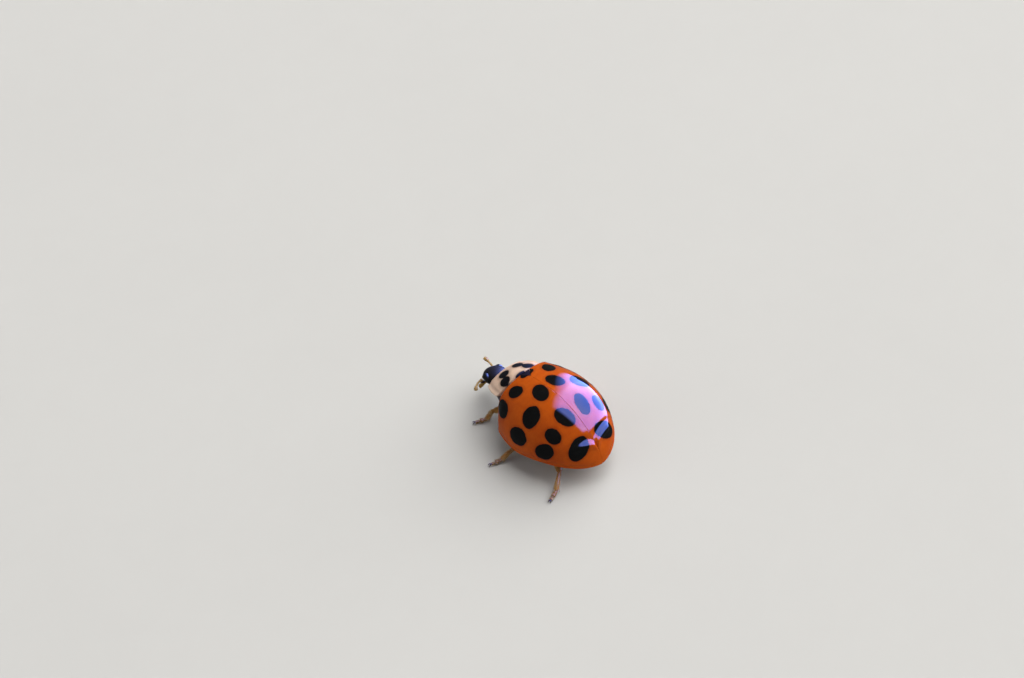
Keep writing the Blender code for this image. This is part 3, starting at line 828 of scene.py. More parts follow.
class LADYBIRD_OT_scutellum(bpy.types.Operator):
    """Make the small triangular plate between the bases of the wing cases"""
    bl_idname = "ladybird.scutellum"
    bl_label = "Scutellum"

    def execute(self, context):
        u, v = np.meshgrid(crowded(40), np.linspace(-1, 1, 41), indexing="ij")
        v = np.sin(v * math.pi / 2)
        t = 0.054 * u
        share = (SCUTELLUM_TIP - dome(t, 0.0)[..., 1]) / (SCUTELLUM_TIP + BASE_LIP)
        half = SCUTELLUM_HALF_WIDTH * np.clip(share, 0.02, None) * (1 + 0.10 * np.sin(math.pi * u))
        surface = dome(t, half * v / dome_half_width(t))
        normals = grid_normals(surface, (0.0, 2.0, 0.0))
        across, along = run_lengths(surface, 1), run_lengths(surface, 0)
        near = np.minimum(np.minimum(across, across[:, -1:] - across), np.minimum(along, along[-1:] - along))
        edge = rounding(near, 0.05)
        points, faces = plate(surface, normals, 0.26, edge, -0.004)
        colours = context.scene.ladybird_colours
        finish = plain_finish("black scutellum", colours.spot, (0.030, 0.012, 0.008), 2500.0, 16000.0, 4e-6,
                              roughness=0.60, Specular_IOR_Level=0.06, Coat_Weight=0.0)
        add_piece("scutellum_plate", [(points, faces)], finish, "scutellum_plate", "scutellum")
        return {"FINISHED"}


class LADYBIRD_OT_shield(bpy.types.Operator):
    """Make the cream shield with its black marks"""
    bl_idname = "ladybird.shield"
    bl_label = "Shield"

    def execute(self, context):
        colours, shape = context.scene.ladybird_colours, context.scene.ladybird_shape
        B, A = np.meshgrid(edged(0.04, 70), edged(0.03, 110) * 2 - 1, indexing="ij")
        flat = shield_surface(A, B)
        normals = grid_normals(flat, (0.0, -0.8, 0.0))
        across, along = run_lengths(flat, 1), run_lengths(flat, 0)
        from_side = np.minimum(across, across[:, -1:] - across)
        from_end = np.minimum(along, along[-1:] - along)
        near = np.minimum(from_side, from_end)
        edge = rounding(from_side, 0.07) * rounding(from_end, 0.07)
        relief = (0.016 * hump(near, 0.06, 0.05) - 0.030 * hump(from_side, 0.22, 0.10)
                  - 0.012 * hump(along[-1:] - along, 0.16, 0.07)
                  + 0.012 * hump(A, 0.0, 0.25) * hump(B, 0.5, 0.3) + 0.004 * np.sin(7 * A + 1) * np.sin(6 * B))
        points, faces = plate(flat, normals, shape.shield_wall / MM * (1 - 0.35 * np.abs(A) ** 4), edge, relief)

        def shield_at(forwards, across):
            return shield_surface(across, forwards)

        marks = np.minimum(UNMARKED, surface_oval(flat, shield_at, *MIDDLE_MARK))
        for across, forwards, half_along, half_across, turn in SHIELD_MARKS:
            for sign in (1, -1):
                marks = np.minimum(marks, surface_oval(flat, shield_at, forwards, sign * across, half_along,
                                                       half_across, sign * turn))
        finish = marked_finish("cream shield", "mark", colours.shield, colours.shield_shade, colours.spot,
                               (0.150, 0.060, 0.030), 0.035, 0.05, 15000.0, 2.5e-6, roughness=0.42,
                               Specular_IOR_Level=0.10, Coat_Weight=0.05, Coat_Roughness=0.30,
                               Subsurface_Weight=0.15, Subsurface_Scale=0.0003, Subsurface_Radius=(1.0, 0.6, 0.4))
        add_piece("shield_plate", [(posed(points), faces)], finish, "shield", "pronotum",
                  values={"mark": np.tile(marks.ravel(), 2)})
        return {"FINISHED"}


# --- underside ---------------------------------------------------------------

def neck_depth(y):
    """How much deeper the trunk lies near the base of the wing cases."""
    return TRUNK_NECK_DEPTH * np.clip(1 - y / CASE_LENGTH / TRUNK_NECK_SHARE, 0, None)


def trunk_ring(y, depth_extra, belly_relief, around=96):
    """One closed section of the trunk at distance y from the base.

    The upper half follows the dome, shrunk by its depth; the lower one is a
    shallow belly, falling by 1 - (x/rim)^4. Sides meet at the rim.
    """
    phi = np.linspace(0, 2 * math.pi, around, endpoint=False)[None, :]
    reach = np.cos(phi) * np.ones_like(y[:, None])
    depth = TRUNK_TOP_DEPTH + depth_extra[:, None]
    t = (y[:, None] + 0.0 * phi) / (CASE_LENGTH - depth)
    for _ in range(4):
        sweep = BASE_SWEEP * reach ** 2 * (1 - t) ** 2
        t = np.clip((y[:, None] / (1 - depth / CASE_LENGTH) + sweep) / CASE_LENGTH, 0, 1)
    upper = np.stack([dome(t, reach, lip=0.0)[..., k] * (1 - depth / size) for k, size in
                      enumerate((CASE_HALF_WIDTH, CASE_LENGTH, CASE_HEIGHT))], -1)
    rim = np.maximum(np.abs(upper[..., 0]).max(1, keepdims=True), 1e-6)
    share = upper[..., 0] / rim
    belly = -TRUNK_DEPTH * np.minimum(1.0, 4 * (1 - t)) * (1 - share ** 4) + belly_relief(share, y[:, None])
    z = np.where(np.sin(phi) >= 0, upper[..., 2], np.minimum(belly, upper[..., 2]))
    return np.stack([upper[..., 0], y[:, None] + 0 * phi, z], -1)


def closed_segment(y0, y1, relief, last=False, stations=26):
    """A trunk segment between two stations, its ends drawn in a little and closed."""
    if last:
        share = np.sin(np.linspace(0, math.pi / 2, stations))
        y = y0 + (y1 - y0) * share
    else:
        y = y0 + (y1 - y0) * crowded(stations)
    rounded = rounding(y - y0, 0.05) * (1.0 if last else rounding(y1 - y, 0.05))
    return drawn_in(trunk_ring(y, neck_depth(y), relief), rounded, 0.965)


class LADYBIRD_OT_underside(bpy.types.Operator):
    """Make the thorax, the front of the thorax and the five belly plates"""
    bl_idname = "ladybird.underside"
    bl_label = "Underside"

    def execute(self, context):
        colours = context.scene.ladybird_colours
        dark = plain_finish("dark underside", colours.underside, colours.underside_shade, 1100.0, 14000.0, 4e-6,
                            roughness=0.38, Coat_Weight=0.3, Coat_Roughness=0.2)
        warm = plain_finish("belly chitin", colours.belly, colours.belly_shade, 900.0, 17000.0, 4e-6,
                            roughness=0.40, Coat_Weight=0.25, Coat_Roughness=0.22)

        def breast(share, y):
            line = 0.022 * hump(share, 0.0, 0.025) * eased((y - 0.7) / 0.3)
            hips = 0.05 * (hump(np.abs(share), 0.33, 0.16) * (hump(y, 0.62, 0.20) + hump(y, 1.70, 0.16)))
            return line + hips - 0.02 * hump(np.abs(share), 0.75, 0.10)

        y_thorax = (0.07, TRUNK_JOINTS[0] * CASE_LENGTH - GAP / 2)
        rings = closed_segment(*y_thorax, breast, stations=60)
        add_piece("thorax_underside", [skin(rings)], dark, "thorax_underside", "thorax")

        fronts = [joint * CASE_LENGTH + GAP / 2 for joint in TRUNK_JOINTS]
        backs = [joint * CASE_LENGTH - GAP / 2 for joint in TRUNK_JOINTS[1:]] + [CASE_LENGTH - TRUNK_TOP_DEPTH]
        for number, (y0, y1) in enumerate(zip(fronts, backs), 1):

            def plates(share, y, y0=y0, y1=y1, first=(number == 1)):
                run = (y - y0) / (y1 - y0)
                lap = 0.03 - 0.05 * eased(run)
                bend = 0.25 + 0.5 * np.abs(share - np.sign(share) * 0.4) / 0.4
                arc = -0.012 * hump(run, bend, 0.10) if first else 0.0
                return lap + arc + 0.02 * hump(np.abs(share), 0.80, 0.08)

            rings = closed_segment(y0, y1, plates, last=number == len(TRUNK_JOINTS))
            add_piece(f"belly_plate_{number}", [skin(rings)], warm, "belly_plates", f"abdomen_{number}")

        u = crowded(40)
        phi = np.linspace(0, 2 * math.pi, 72, endpoint=False)[None, :]
        side = np.cos(phi) * np.ones((40, 1))
        U = u[:, None] + 0 * phi
        roof = shield_surface(side * 0.58, 0.06 + 0.94 * U, 1.34 * SHIELD_THICKNESS + GAP)
        start = -0.14 - 0.12 * side ** 2
        y = start + (FORE_END_Y - start) * U
        belly = -0.02 + 0.24 * U * U - 0.06 * (1 - side ** 2) + 0.25 * side ** 4
        keel = -0.035 * hump(np.abs(side), 0.10, 0.05) * eased(U / 0.2) * eased((0.75 - U) / 0.2)
        z = np.where(np.sin(phi) >= 0, roof[..., 2], np.minimum(belly + keel, roof[..., 2]))
        rings = posed(np.stack([roof[..., 0], y, z], -1))
        rings = drawn_in(rings, rounding(u, 0.06) * rounding(1 - u, 0.06), 0.95)
        add_piece("fore_underside", [skin(rings)], dark, "thorax_underside", "prosternum")
        return {"FINISHED"}


# --- head --------------------------------------------------------------------

def eye_place(sign):
    """Centre of an eye from the head's centre, and its turn."""
    turn = np.array(rotation(-sign * EYE_TOE_IN, "Z"))
    return np.array([sign * EYE_OFFSET[0], EYE_OFFSET[1], EYE_OFFSET[2]]), turn


def head_relief(unit, points):
    """The capsule: flattened brow, a broad lip shield in front, sunk eye sockets with fine rims."""
    x, y, z = unit[..., 0], unit[..., 1], unit[..., 2]
    out = (0.045 * hump(np.hypot(x / 0.55, (z + 0.42) / 0.25), 0.0, 0.9) * eased(-y / 0.5)
           - 0.030 * hump(np.hypot(x / 0.5, (z - 0.10) / 0.4), 0.0, 0.9) * eased(-y / 0.6)
           - 0.018 * hump(np.abs(x), 0.62, 0.09) * hump(z, -0.28, 0.16) * eased(-y / 0.3)
           - 0.012 * hump(z, -0.24, 0.035) * eased((0.45 - np.abs(x)) / 0.1) * eased(-y / 0.5))
    for sign in (1, -1):
        centre, turn = eye_place(sign)
        local = ((points - centre) @ turn) / np.array(EYE_RADII)
        near = np.linalg.norm(local, axis=-1)
        out = out - 0.070 * eased((1.12 - near) / 0.14) + 0.012 * hump(near, 1.17, 0.06)
    points = points + unit * out[..., None]
    limit = NECK_Y + 0.02 - HEAD_CENTRE[1]
    points[..., 1] = np.minimum(points[..., 1], limit + 0.10 * np.tanh((points[..., 1] - limit) / 0.3))
    return points


class LADYBIRD_OT_head(bpy.types.Operator):
    """Make the head capsule and both eyes"""
    bl_idname = "ladybird.head"
    bl_label = "Head and eyes"

    def execute(self, context):
        colours = context.scene.ladybird_colours
        points, faces = ball((0, 0, 0), HEAD_RADII, around=180, rings=120, relief=head_relief)
        brow = oval_distance(points, np.array([0.0, -0.70, -0.02]), np.array([1.0, 0.0, 0.0]),
                             np.array([0.0, 0.0, 1.0]), 0.30, 0.15)
        finish = marked_finish("black head", "pale", colours.spot, (0.030, 0.022, 0.018), colours.shield,
                               (0.060, 0.030, 0.018), 0.03, 0.04, 17000.0, 3e-6, roughness=0.42,
                               Specular_IOR_Level=0.20, Coat_Weight=0.10, Coat_Roughness=0.35)
        add_piece("head_capsule", [(on_head(points), faces)], finish, "head_shell", "head", values={"pale": brow})
        for side, sign in SIDES:
            centre, turn = eye_place(sign)
            points, faces = ball(centre, EYE_RADII, turn, around=64, rings=48)
            add_piece(f"eye_ball_{side}", [(on_head(points), faces)], eye_finish(colours.eye), "eyes",
                      f"eye_{side}")
        return {"FINISHED"}


def beads(stops, radii, waist=0.62, width=0.25):
    """A radius rule for a jointed limb: a full radius in each joint, drawn in to a waist between joints."""
    stops, radii = np.asarray(stops, float), np.asarray(radii, float)

    def rule(s):
        k = np.clip(np.searchsorted(stops, s, side="right") - 1, 0, len(radii) - 1)
        start, end = stops[k], stops[np.minimum(k + 1, len(stops) - 1)]
        local = (s - start) / np.maximum(end - start, 1e-6)
        inward = np.minimum(local * 0.8, 1 - local) / width
        return radii[k] * (waist + (1 - waist) * rounding(inward, 1.0)) * (0.90 + 0.10 * local)
    return rule


def feeler_tube(side):
    """One feeler: a stout first joint, slender middle joints and a three-jointed club."""
    stops = np.concatenate([[0], np.cumsum(FEELER_LENGTHS) / np.sum(FEELER_LENGTHS)])
    thick = beads(stops, FEELER_RADII)
    shares = np.unique(np.concatenate([np.linspace(0, 1, 190), crowded(30)]))
    return Tube(on_head(FEELERS[side]), thick, lambda s: thick(s) * 0.88, around=20, shares=shares)


def palp_tube(sign):
    """One palp, ending in a broad axe-shaped joint."""
    wide = beads((0, 0.28, 0.52, 1.0), (0.060, 0.066, 0.110), waist=0.6, width=0.3)

    def up(s):
        return wide(s) * profile(s, (0, 0.52, 0.80, 1.0), (1.0, 1.0, 0.75, 0.6))
    return Tube(on_head(mirrored(PALP, sign)), wide, up, around=20, shares=np.linspace(0, 1, 60),
                round_ends=(0.8, 0.45))


class LADYBIRD_OT_mouth(bpy.types.Operator):
    """Make the feelers, palps, upper lip and jaws"""
    bl_idname = "ladybird.mouth"
    bl_label = "Feelers and mouthparts"

    def execute(self, context):
        colours = context.scene.ladybird_colours
        amber = plain_finish("amber mouthparts", colours.mouth, colours.mouth_shade, 2600.0, 26000.0, 3e-6,
                             roughness=0.42, Specular_IOR_Level=0.20, Subsurface_Weight=0.2,
                             Subsurface_Scale=0.00015, Subsurface_Radius=(1.0, 0.5, 0.2), Coat_Weight=0.05,
                             Coat_Roughness=0.2)

        def lip(unit, points):
            notch = 0.05 * hump(unit[..., 0], 0.0, 0.22) * eased(-unit[..., 1] / 0.4)
            points = points.copy()
            points[..., 1] += notch
            points[..., 2] *= 1 - 0.35 * eased(-unit[..., 1])
            return points

        centre, radii = np.array(LIP_OFFSET) + (0, 0.035, 0.01), np.array(LIP_RADII) * (0.92, 0.80, 0.70)
        points, faces = ball(centre, radii, around=64, rings=40, relief=lip)
        add_piece("upper_lip", [(on_head(points), faces)], amber, "mouthparts", "labrum")
        wide, high = girth((0, 0.4, 1), (0.085, 0.075, 0.020)), girth((0, 0.4, 1), (0.060, 0.055, 0.018))
        jaws = [Tube(on_head(mirrored(JAW, sign)), wide, high, stations=30, around=16).shell() for sign in (1, -1)]
        add_piece("jaws", jaws, claw_finish(), "mouthparts")
        for side, sign in SIDES:
            add_piece(f"feeler_{side}", [feeler_tube(side).shell()], amber, "mouthparts", f"antenna_{side}")
            add_piece(f"palp_joints_{side}", [palp_tube(sign).shell()], amber, "mouthparts", f"palp_{side}")
        return {"FINISHED"}


# --- legs --------------------------------------------------------------------

def leg_points(which, sign):
    """Hip, knee, ankle and tip of one leg."""
    points = mirrored(LEG_JOINTS[which], sign)
    if sign < 0:
        points[1:, :2] += RIGHT_DRAWN[which]
    return points


def leg_segment(joint, next_joint, before, after, rise):
    """A segment's direction and the start, bow and end of its path, reaching a little past both joints."""
    direction = (next_joint - joint) / np.linalg.norm(next_joint - joint)
    start, end = joint - direction * before, next_joint + direction * after
    return direction, [start, (start + end) / 2 + (0, 0, rise), end]


def leg_tubes(which, sign):
    """The tubes of one leg (hip joint, thigh, shin and three-jointed foot), the foot's direction and its end."""
    slim = bpy.context.scene.ladybird_shape.leg_thickness
    hip, knee, ankle, tip = leg_points(which, sign)
    thigh, thigh_path = leg_segment(hip, knee, 0.02, 0.01, 0.03)
    _, shin_path = leg_segment(knee, ankle, 0.05, 0.02, 0.05)
    foot, foot_path = leg_segment(ankle, tip, 0.03, 0.02, 0.0)
    hip_path = [hip + (-sign * 0.30, 0, 0.16), hip + (-sign * 0.10, 0, 0.07), hip + thigh * 0.06]
    joints = beads((0, 0.34, 0.62, 1.0), (0.098, 0.118, 0.075), waist=0.62, width=0.3)

    def foot_girth(values):
        return lambda s: slim * joints(s) * profile(s, (0, 0.62, 0.7, 1), values)

    tubes = {
        "hip": Tube(hip_path, girth((0, 0.5, 1), (0.16, 0.20, 0.14), slim),
                    girth((0, 0.5, 1), (0.13, 0.16, 0.13), slim), stations=26, around=20),
        "thigh": Tube(thigh_path, girth((0, 0.35, 0.75, 1), (0.135, 0.200, 0.170, 0.125), slim),
                      girth((0, 0.4, 0.8, 1), (0.120, 0.170, 0.145, 0.110), slim), stations=44, around=24),
        "shin": Tube(shin_path, girth((0, 0.2, 0.9, 1), (0.095, 0.092, 0.128, 0.118), slim),
                     girth((0, 0.2, 0.9, 1), (0.100, 0.100, 0.118, 0.108), slim), stations=44, around=20),
        "foot": Tube(foot_path, foot_girth((1, 1, 0.8, 1.0)), foot_girth((0.85, 0.85, 0.8, 0.95)),
                     around=20, shares=np.linspace(0, 1, 70)),
    }
    return tubes, foot, foot_path[-1]


def claw_shells(foot, end):
    """Two hooked claws with a tooth near the base, spread from the end of a foot."""
    side = np.cross(foot, (0, 0, 1.0))
    side /= np.linalg.norm(side)
    wide, high = girth((0, 0.3, 1), (0.026, 0.024, 0.004)), girth((0, 0.3, 1), (0.034, 0.028, 0.004))
    tooth_girth = girth((0, 1), (0.018, 0.004))
    shells = []
    for way in (1, -1):
        out = foot * math.cos(CLAW_SPREAD) + side * way * math.sin(CLAW_SPREAD)
        hook = [end + out * reach + (0, 0, rise) for reach, rise in CLAW_HOOK]
        tooth = [end + out * reach + (0, 0, rise) for reach, rise in CLAW_TOOTH]
        root = end - foot * 0.03 + (0, 0, 0.01)
        shells.append(Tube([root, *hook], wide, high, stations=24, around=12).shell())
        shells.append(Tube(tooth, tooth_girth, tooth_girth, stations=12, around=10, upward=foot).shell())
    return shells


class LADYBIRD_OT_legs(bpy.types.Operator):
    """Make the six legs with their feet and claws"""
    bl_idname = "ladybird.legs"
    bl_label = "Legs"

    def execute(self, context):
        for side, sign in SIDES:
            for which in LEG_JOINTS:
                tubes, foot, end = leg_tubes(which, sign)
                shells = {part: tube.shell() for part, tube in tubes.items()}
                key = f"{which}_{side}"
                add_piece(f"thigh_{key}", [shells["hip"], shells["thigh"]], limb_finish(), "legs", f"femur_{key}")
                add_piece(f"shin_{key}", [shells["shin"]], limb_finish(), "legs", f"tibia_{key}")
                add_piece(f"foot_{key}", [shells["foot"]], foot_finish(), "feet", f"tarsus_{key}")
                add_piece(f"claws_{key}", claw_shells(foot, end), claw_finish(), "feet")
        return {"FINISHED"}


# --- bristles ----------------------------------------------------------------

def bristle_shells(thick, roots, normals, lies, lengths, uv):
    """Three-sided bristles, each with a bent middle and a point, and their map.

    A bristle leaves along 0.55·normal + lie and its tip bends on towards the
    lie. Its map is a patch 0.003 across at the root's place on the limb's own
    unwrap. Bristles that would reach through the floor are left out.
    """
    lift = normals * 0.55 + lies
    lift /= np.linalg.norm(lift, axis=1, keepdims=True)
    bend = normals * 0.15 + lies
    bend /= np.linalg.norm(bend, axis=1, keepdims=True)
    side = np.cross(lift, normals + (1e-4, 2e-4, 0))
    side /= np.linalg.norm(side, axis=1, keepdims=True)
    other = np.cross(lift, side)
    length = lengths[:, None]
    base = roots - normals * 0.006
    middle = base + lift * length * 0.5
    tip = middle + bend * length * 0.5
    clear = np.minimum(middle, tip)[:, 2] > 2 * thick - MARGIN_HEIGHT
    base, middle, tip, side, other, uv = (values[clear] for values in (base, middle, tip, side, other, uv))
    n = len(base)
    turn = np.arange(3) * 2 * math.pi / 3
    ring = side[:, None] * np.cos(turn)[None, :, None] + other[:, None] * np.sin(turn)[None, :, None]
    low, mid = base[:, None] + ring * thick, middle[:, None] + ring * thick * 0.7
    points = np.concatenate([low, mid, tip[:, None]], 1).reshape(-1, 3)
    start = (np.arange(n) * 7)[:, None, None]
    quads = (start + np.array([[0, 1, 4, 3], [1, 2, 5, 4], [2, 0, 3, 5]])).reshape(-1, 4)
    caps = (start + np.array([[3, 4, 6], [4, 5, 6], [5, 3, 6], [0, 2, 1]])).reshape(-1, 3)
    patch = np.array([[0.0, 0.0], [0.003, 0.0], [0.0015, 0.001], [0.0, 0.0015], [0.003, 0.0015],
                      [0.0015, 0.002], [0.0015, 0.003]]) - 0.0015
    nothing = np.zeros((0, 3))
    return [(points, quads), (nothing, caps - len(points))], (uv[:, None] + patch[None]).reshape(-1, 2)


def rooted(tube, count, rng, sheet, length, variation, low=0.08, high=0.95):
    """Bristles on a tube: roots, normals, lies along it, lengths and their place on its unwrap.

    sheet is the lowest corner and size of the tube's rectangle on the map,
    its length one way and its turn the other.
    """
    stations = np.flatnonzero((tube.shares > low) & (tube.shares < high))
    i = rng.choice(stations, count)
    j = rng.integers(0, tube.rings.shape[1], count)
    x0, y0, width, height = sheet
    uv = np.stack([x0 + width * tube.shares[i], y0 + height * j / tube.rings.shape[1]], 1)
    lengths = length * rng.uniform(*variation, count)
    return tube.rings[i, j], tube.normals[i, j], tube.direction[i], lengths, uv


def belly_bristles(rng, length):
    """Bristles that lie backwards on the belly."""
    y = rng.uniform(0.3, 4.05, BELLY_BRISTLES)
    reach = np.cos(rng.uniform(1.08, 1.92, BELLY_BRISTLES) * math.pi)
    sweep = BASE_SWEEP * reach ** 2 * (1 - y / CASE_LENGTH) ** 2
    t = (y / (1 - TRUNK_TOP_DEPTH / CASE_LENGTH) + sweep) / CASE_LENGTH
    keep = t < 0.97
    y, reach, t = y[keep], reach[keep], t[keep]
    narrowed = 1 - (TRUNK_TOP_DEPTH + neck_depth(y)) / CASE_HALF_WIDTH
    x, rim = dome(t, reach)[:, 0] * narrowed, dome_half_width(t) * narrowed
    z = -TRUNK_DEPTH * np.minimum(1.0, 4 * (1 - t)) * (1 - (x / rim) ** 4)
    downwards, backwards = np.tile((0.0, 0.0, -1.0), (len(x), 1)), np.tile((0.0, 1.0, 0.0), (len(x), 1))
    lies = backwards + rng.uniform(-0.2, 0.2, (len(x), 3)) * (1, 0, 0)
    lengths = length * rng.uniform(0.7, 1.1, len(x))
    return np.stack([x, y, z], 1), downwards, lies, lengths, np.stack([0.5 + x / 6.0, 0.05 + y / 5.5], 1)


def add_bristles(name, groups, thick, slot):
    """One piece from several groups of bristles."""
    shells, uv = bristle_shells(thick, *(np.concatenate(values) for values in zip(*groups)))
    add_piece(name, shells, bristle_finish(), slot, uv=uv)


class LADYBIRD_OT_bristles(bpy.types.Operator):
    """Make the fine bristles of legs, feelers and belly"""
    bl_idname = "ladybird.bristles"
    bl_label = "Bristles"

    def execute(self, context):
        shape = context.scene.ladybird_shape
        long = shape.bristle_length / MM
        rng = np.random.default_rng(BRISTLE_SEED)
        legs = []
        for k, (sign, which) in enumerate((sign, which) for _, sign in SIDES for which in LEG_JOINTS):
            tubes, _, _ = leg_tubes(which, sign)
            for row, (part, share, reach) in enumerate(LEG_BRISTLES):
                sheet = (0.02 + 0.32 * row, 0.02 + 0.16 * k, 0.28, 0.13)
                count = int(shape.bristles_per_leg * share)
                legs.append(rooted(tubes[part], count, rng, sheet, long * reach, (0.7, 1.2)))
        add_bristles("leg_bristles", legs, 0.0065, "legs")

        tubes = [(feeler_tube(side), 110) for side in FEELERS] + [(palp_tube(sign), 50) for _, sign in SIDES]
        mouth = [rooted(tube, count, rng, (0.04, 0.02 + 0.24 * k, 0.9, 0.2), long * 0.5, (0.6, 1.2), 0.15, 0.98)
                 for k, (tube, count) in enumerate(tubes)]
        add_bristles("feeler_bristles", mouth, 0.0045, "mouthparts")
        add_bristles("belly_bristles", [belly_bristles(rng, long * 0.9)], 0.0055, "belly_plates")
        return {"FINISHED"}


# --- stage -------------------------------------------------------------------

def make_floor(stage):
    """A pale, softly mottled floor that the glossy shells don't mirror."""
    half = FLOOR_HALF_SIZE
    mesh = bpy.data.meshes.new("floor")
    mesh.from_pydata([(-half, -half, 0), (half, -half, 0), (half, half, 0), (-half, half, 0)], [], [(0, 1, 2, 3)])
    made, tree, shader = new_finish("pale floor", 0.9, Specular_IOR_Level=0.0)
    tone = use_group(tree, mottling_group(), Colour=stage.floor_colour,
                     Second_Colour=times(stage.floor_colour, 0.96), Scale=60.0, Amount=0.5)
    tree.links.new(tone.outputs[0], shader.inputs["Base Color"])
    mesh.materials.append(made)
    floor = bpy.data.objects.new("floor", mesh)
    bpy.context.scene.collection.objects.link(floor)
    floor.visible_glossy = False


def soft_light(name, direction, roll, distance, size, power, colour, mirrored_only, slide=0.0):
    """A rectangular light aimed at the ladybird's middle, slid along its own height.

    It is either seen only in glossy shells, or lights them without being mirrored.
    """
    data = bpy.data.lights.new(name, "AREA")
    data.shape, (data.size, data.size_y) = "RECTANGLE", size
    data.energy, data.color = power, colour
    light = bpy.data.objects.new(name, data)
    middle, away = (Vector(solid_box[0]) + Vector(solid_box[1])) / 2, Vector(direction).normalized()
    turn = away.to_track_quat("Z", "Y").to_matrix().to_4x4() @ rotation(roll, "Z", 4)
    light.matrix_world = Matrix.Translation(middle + away * distance) @ turn @ Matrix.Translation((0, slide, 0))
    light.visible_diffuse, light.visible_glossy = not mirrored_only, mirrored_only
    bpy.context.scene.collection.objects.link(light)
    return data


def faded(tree, socket, low_width, high_width):
    """1 in the middle of a light, falling to 0 at both ends of one direction."""
    low = maths(tree, "DIVIDE", socket, low_width, clamp=True)
    high = maths(tree, "DIVIDE", maths(tree, "SUBTRACT", 1.0, socket), high_width, clamp=True)
    return maths(tree, "MULTIPLY", low, high)


def shape_glow(glow):
    """Give a light soft edges, a fall in strength along its height and a warm haze."""
    glow.use_nodes = True
    tree = glow.node_tree
    emission = tree.nodes["Emission"].inputs
    sheet = tree.nodes.new("ShaderNodeNewGeometry").outputs["Parametric"]
    place_on, cloud = tree.nodes.new("ShaderNodeSeparateXYZ"), tree.nodes.new("ShaderNodeTexNoise")
    tree.links.new(sheet, place_on.inputs[0])
    tree.links.new(sheet, cloud.inputs["Vector"])
    cloud.inputs["Scale"].default_value, cloud.inputs["Detail"].default_value = 3.0, 1.0
    haze = maths(tree, "MULTIPLY", maths(tree, "SUBTRACT", cloud.outputs[0], 0.42), 4.0, clamp=True)
    tree.links.new(blended(tree, haze, (1.0, 1.0, 1.0), (2.2, 1.45, 1.0)), emission["Color"])
    u, v = place_on.outputs[0], place_on.outputs[1]
    soft = maths(tree, "MULTIPLY", faded(tree, u, 0.06, 0.25), faded(tree, v, 0.06, 0.06))
    level = maths(tree, "SUBTRACT", 1.0, maths(tree, "MULTIPLY", v, 0.45))
    tree.links.new(maths(tree, "MULTIPLY", soft, level), emission["Strength"])


def make_room_light(scene, strength):
    """Even light from all round, and a plain view transform."""
    world = bpy.data.worlds.new("room light")
    world.use_nodes = True
    background = world.node_tree.nodes["Background"].inputs
    background["Color"].default_value, background["Strength"].default_value = (0.95, 0.97, 1.0, 1.0), strength
    scene.world = world
    scene.view_settings.view_transform = "Standard"


def make_camera(scene):
    """The camera: its direction, then a shift sideways and up, at its distance from the wing cases."""
    turn = (rotation(CAMERA_AZIMUTH, "Z", 4) @ rotation(90 - CAMERA_ELEVATION, "X", 4)
            @ rotation(CAMERA_ROLL, "Z", 4))
    target = Matrix.Translation((BASE_X, BASE_Y + 0.49 * CASE_LENGTH, MARGIN_HEIGHT + 0.44 * CASE_HEIGHT))
    stand = target @ turn @ Matrix.Translation((*CAMERA_SHIFT, CAMERA_DISTANCE))
    data = bpy.data.cameras.new("camera")
    data.lens, data.sensor_width, data.clip_start, data.clip_end = LENS, SENSOR_WIDTH, 0.005, 10.0
    camera = bpy.data.objects.new("camera", data)
    camera.matrix_world = Matrix.Translation(stand.to_translation() * MM) @ turn
    scene.collection.objects.link(camera)
    scene.camera = camera


class LADYBIRD_OT_stage(bpy.types.Operator):
    """Make the pale floor, the soft lights and the camera"""
    bl_idname = "ladybird.stage"
    bl_label = "Floor, lights and camera"

    def execute(self, context):
        stage = context.scene.ladybird_stage
        make_floor(stage)
        shape_glow(soft_light("window glow", WINDOW, WINDOW_ROLL, GLOW_DISTANCE, GLOW_SIZE, stage.glow_power,
                              stage.glow_colour, True, GLOW_SLIDE))
        soft_light("window light", WINDOW, WINDOW_ROLL, WINDOW_DISTANCE, WINDOW_SIZE, stage.window_power,
                   (1.0, 0.98, 0.96), False)
        soft_light("front fill", FILL, 0.0, FILL_DISTANCE, FILL_SIZE, stage.fill_power,
                   (1.0, 0.97, 0.93), False)
        make_room_light(context.scene, stage.room_light)
        make_camera(context.scene)
        return {"FINISHED"}


# --- settings, panel and run -------------------------------------------------

def colour_setting(name, description, default):
    """A colour in the panel."""
    return FloatVectorProperty(name=name, description=description, default=default, subtype="COLOR", size=3,
                               min=0.0, max=1.0)


def length_setting(name, description, default, low, high, precision=5):
    """A length in metres in the panel."""
    return FloatProperty(name=name, description=description, default=default, min=low, max=high, unit="LENGTH",
                         precision=precision)


def factor_setting(name, description, low, high):
    """A share in the panel, 1 as drawn."""
    return FloatProperty(name=name, description=description, default=1.0, min=low, max=high, subtype="FACTOR")


def power_setting(name, description, default):
    """A light's power in watts in the panel."""
    return FloatProperty(name=name, description=description, default=default, min=0.0, unit="POWER", precision=4)


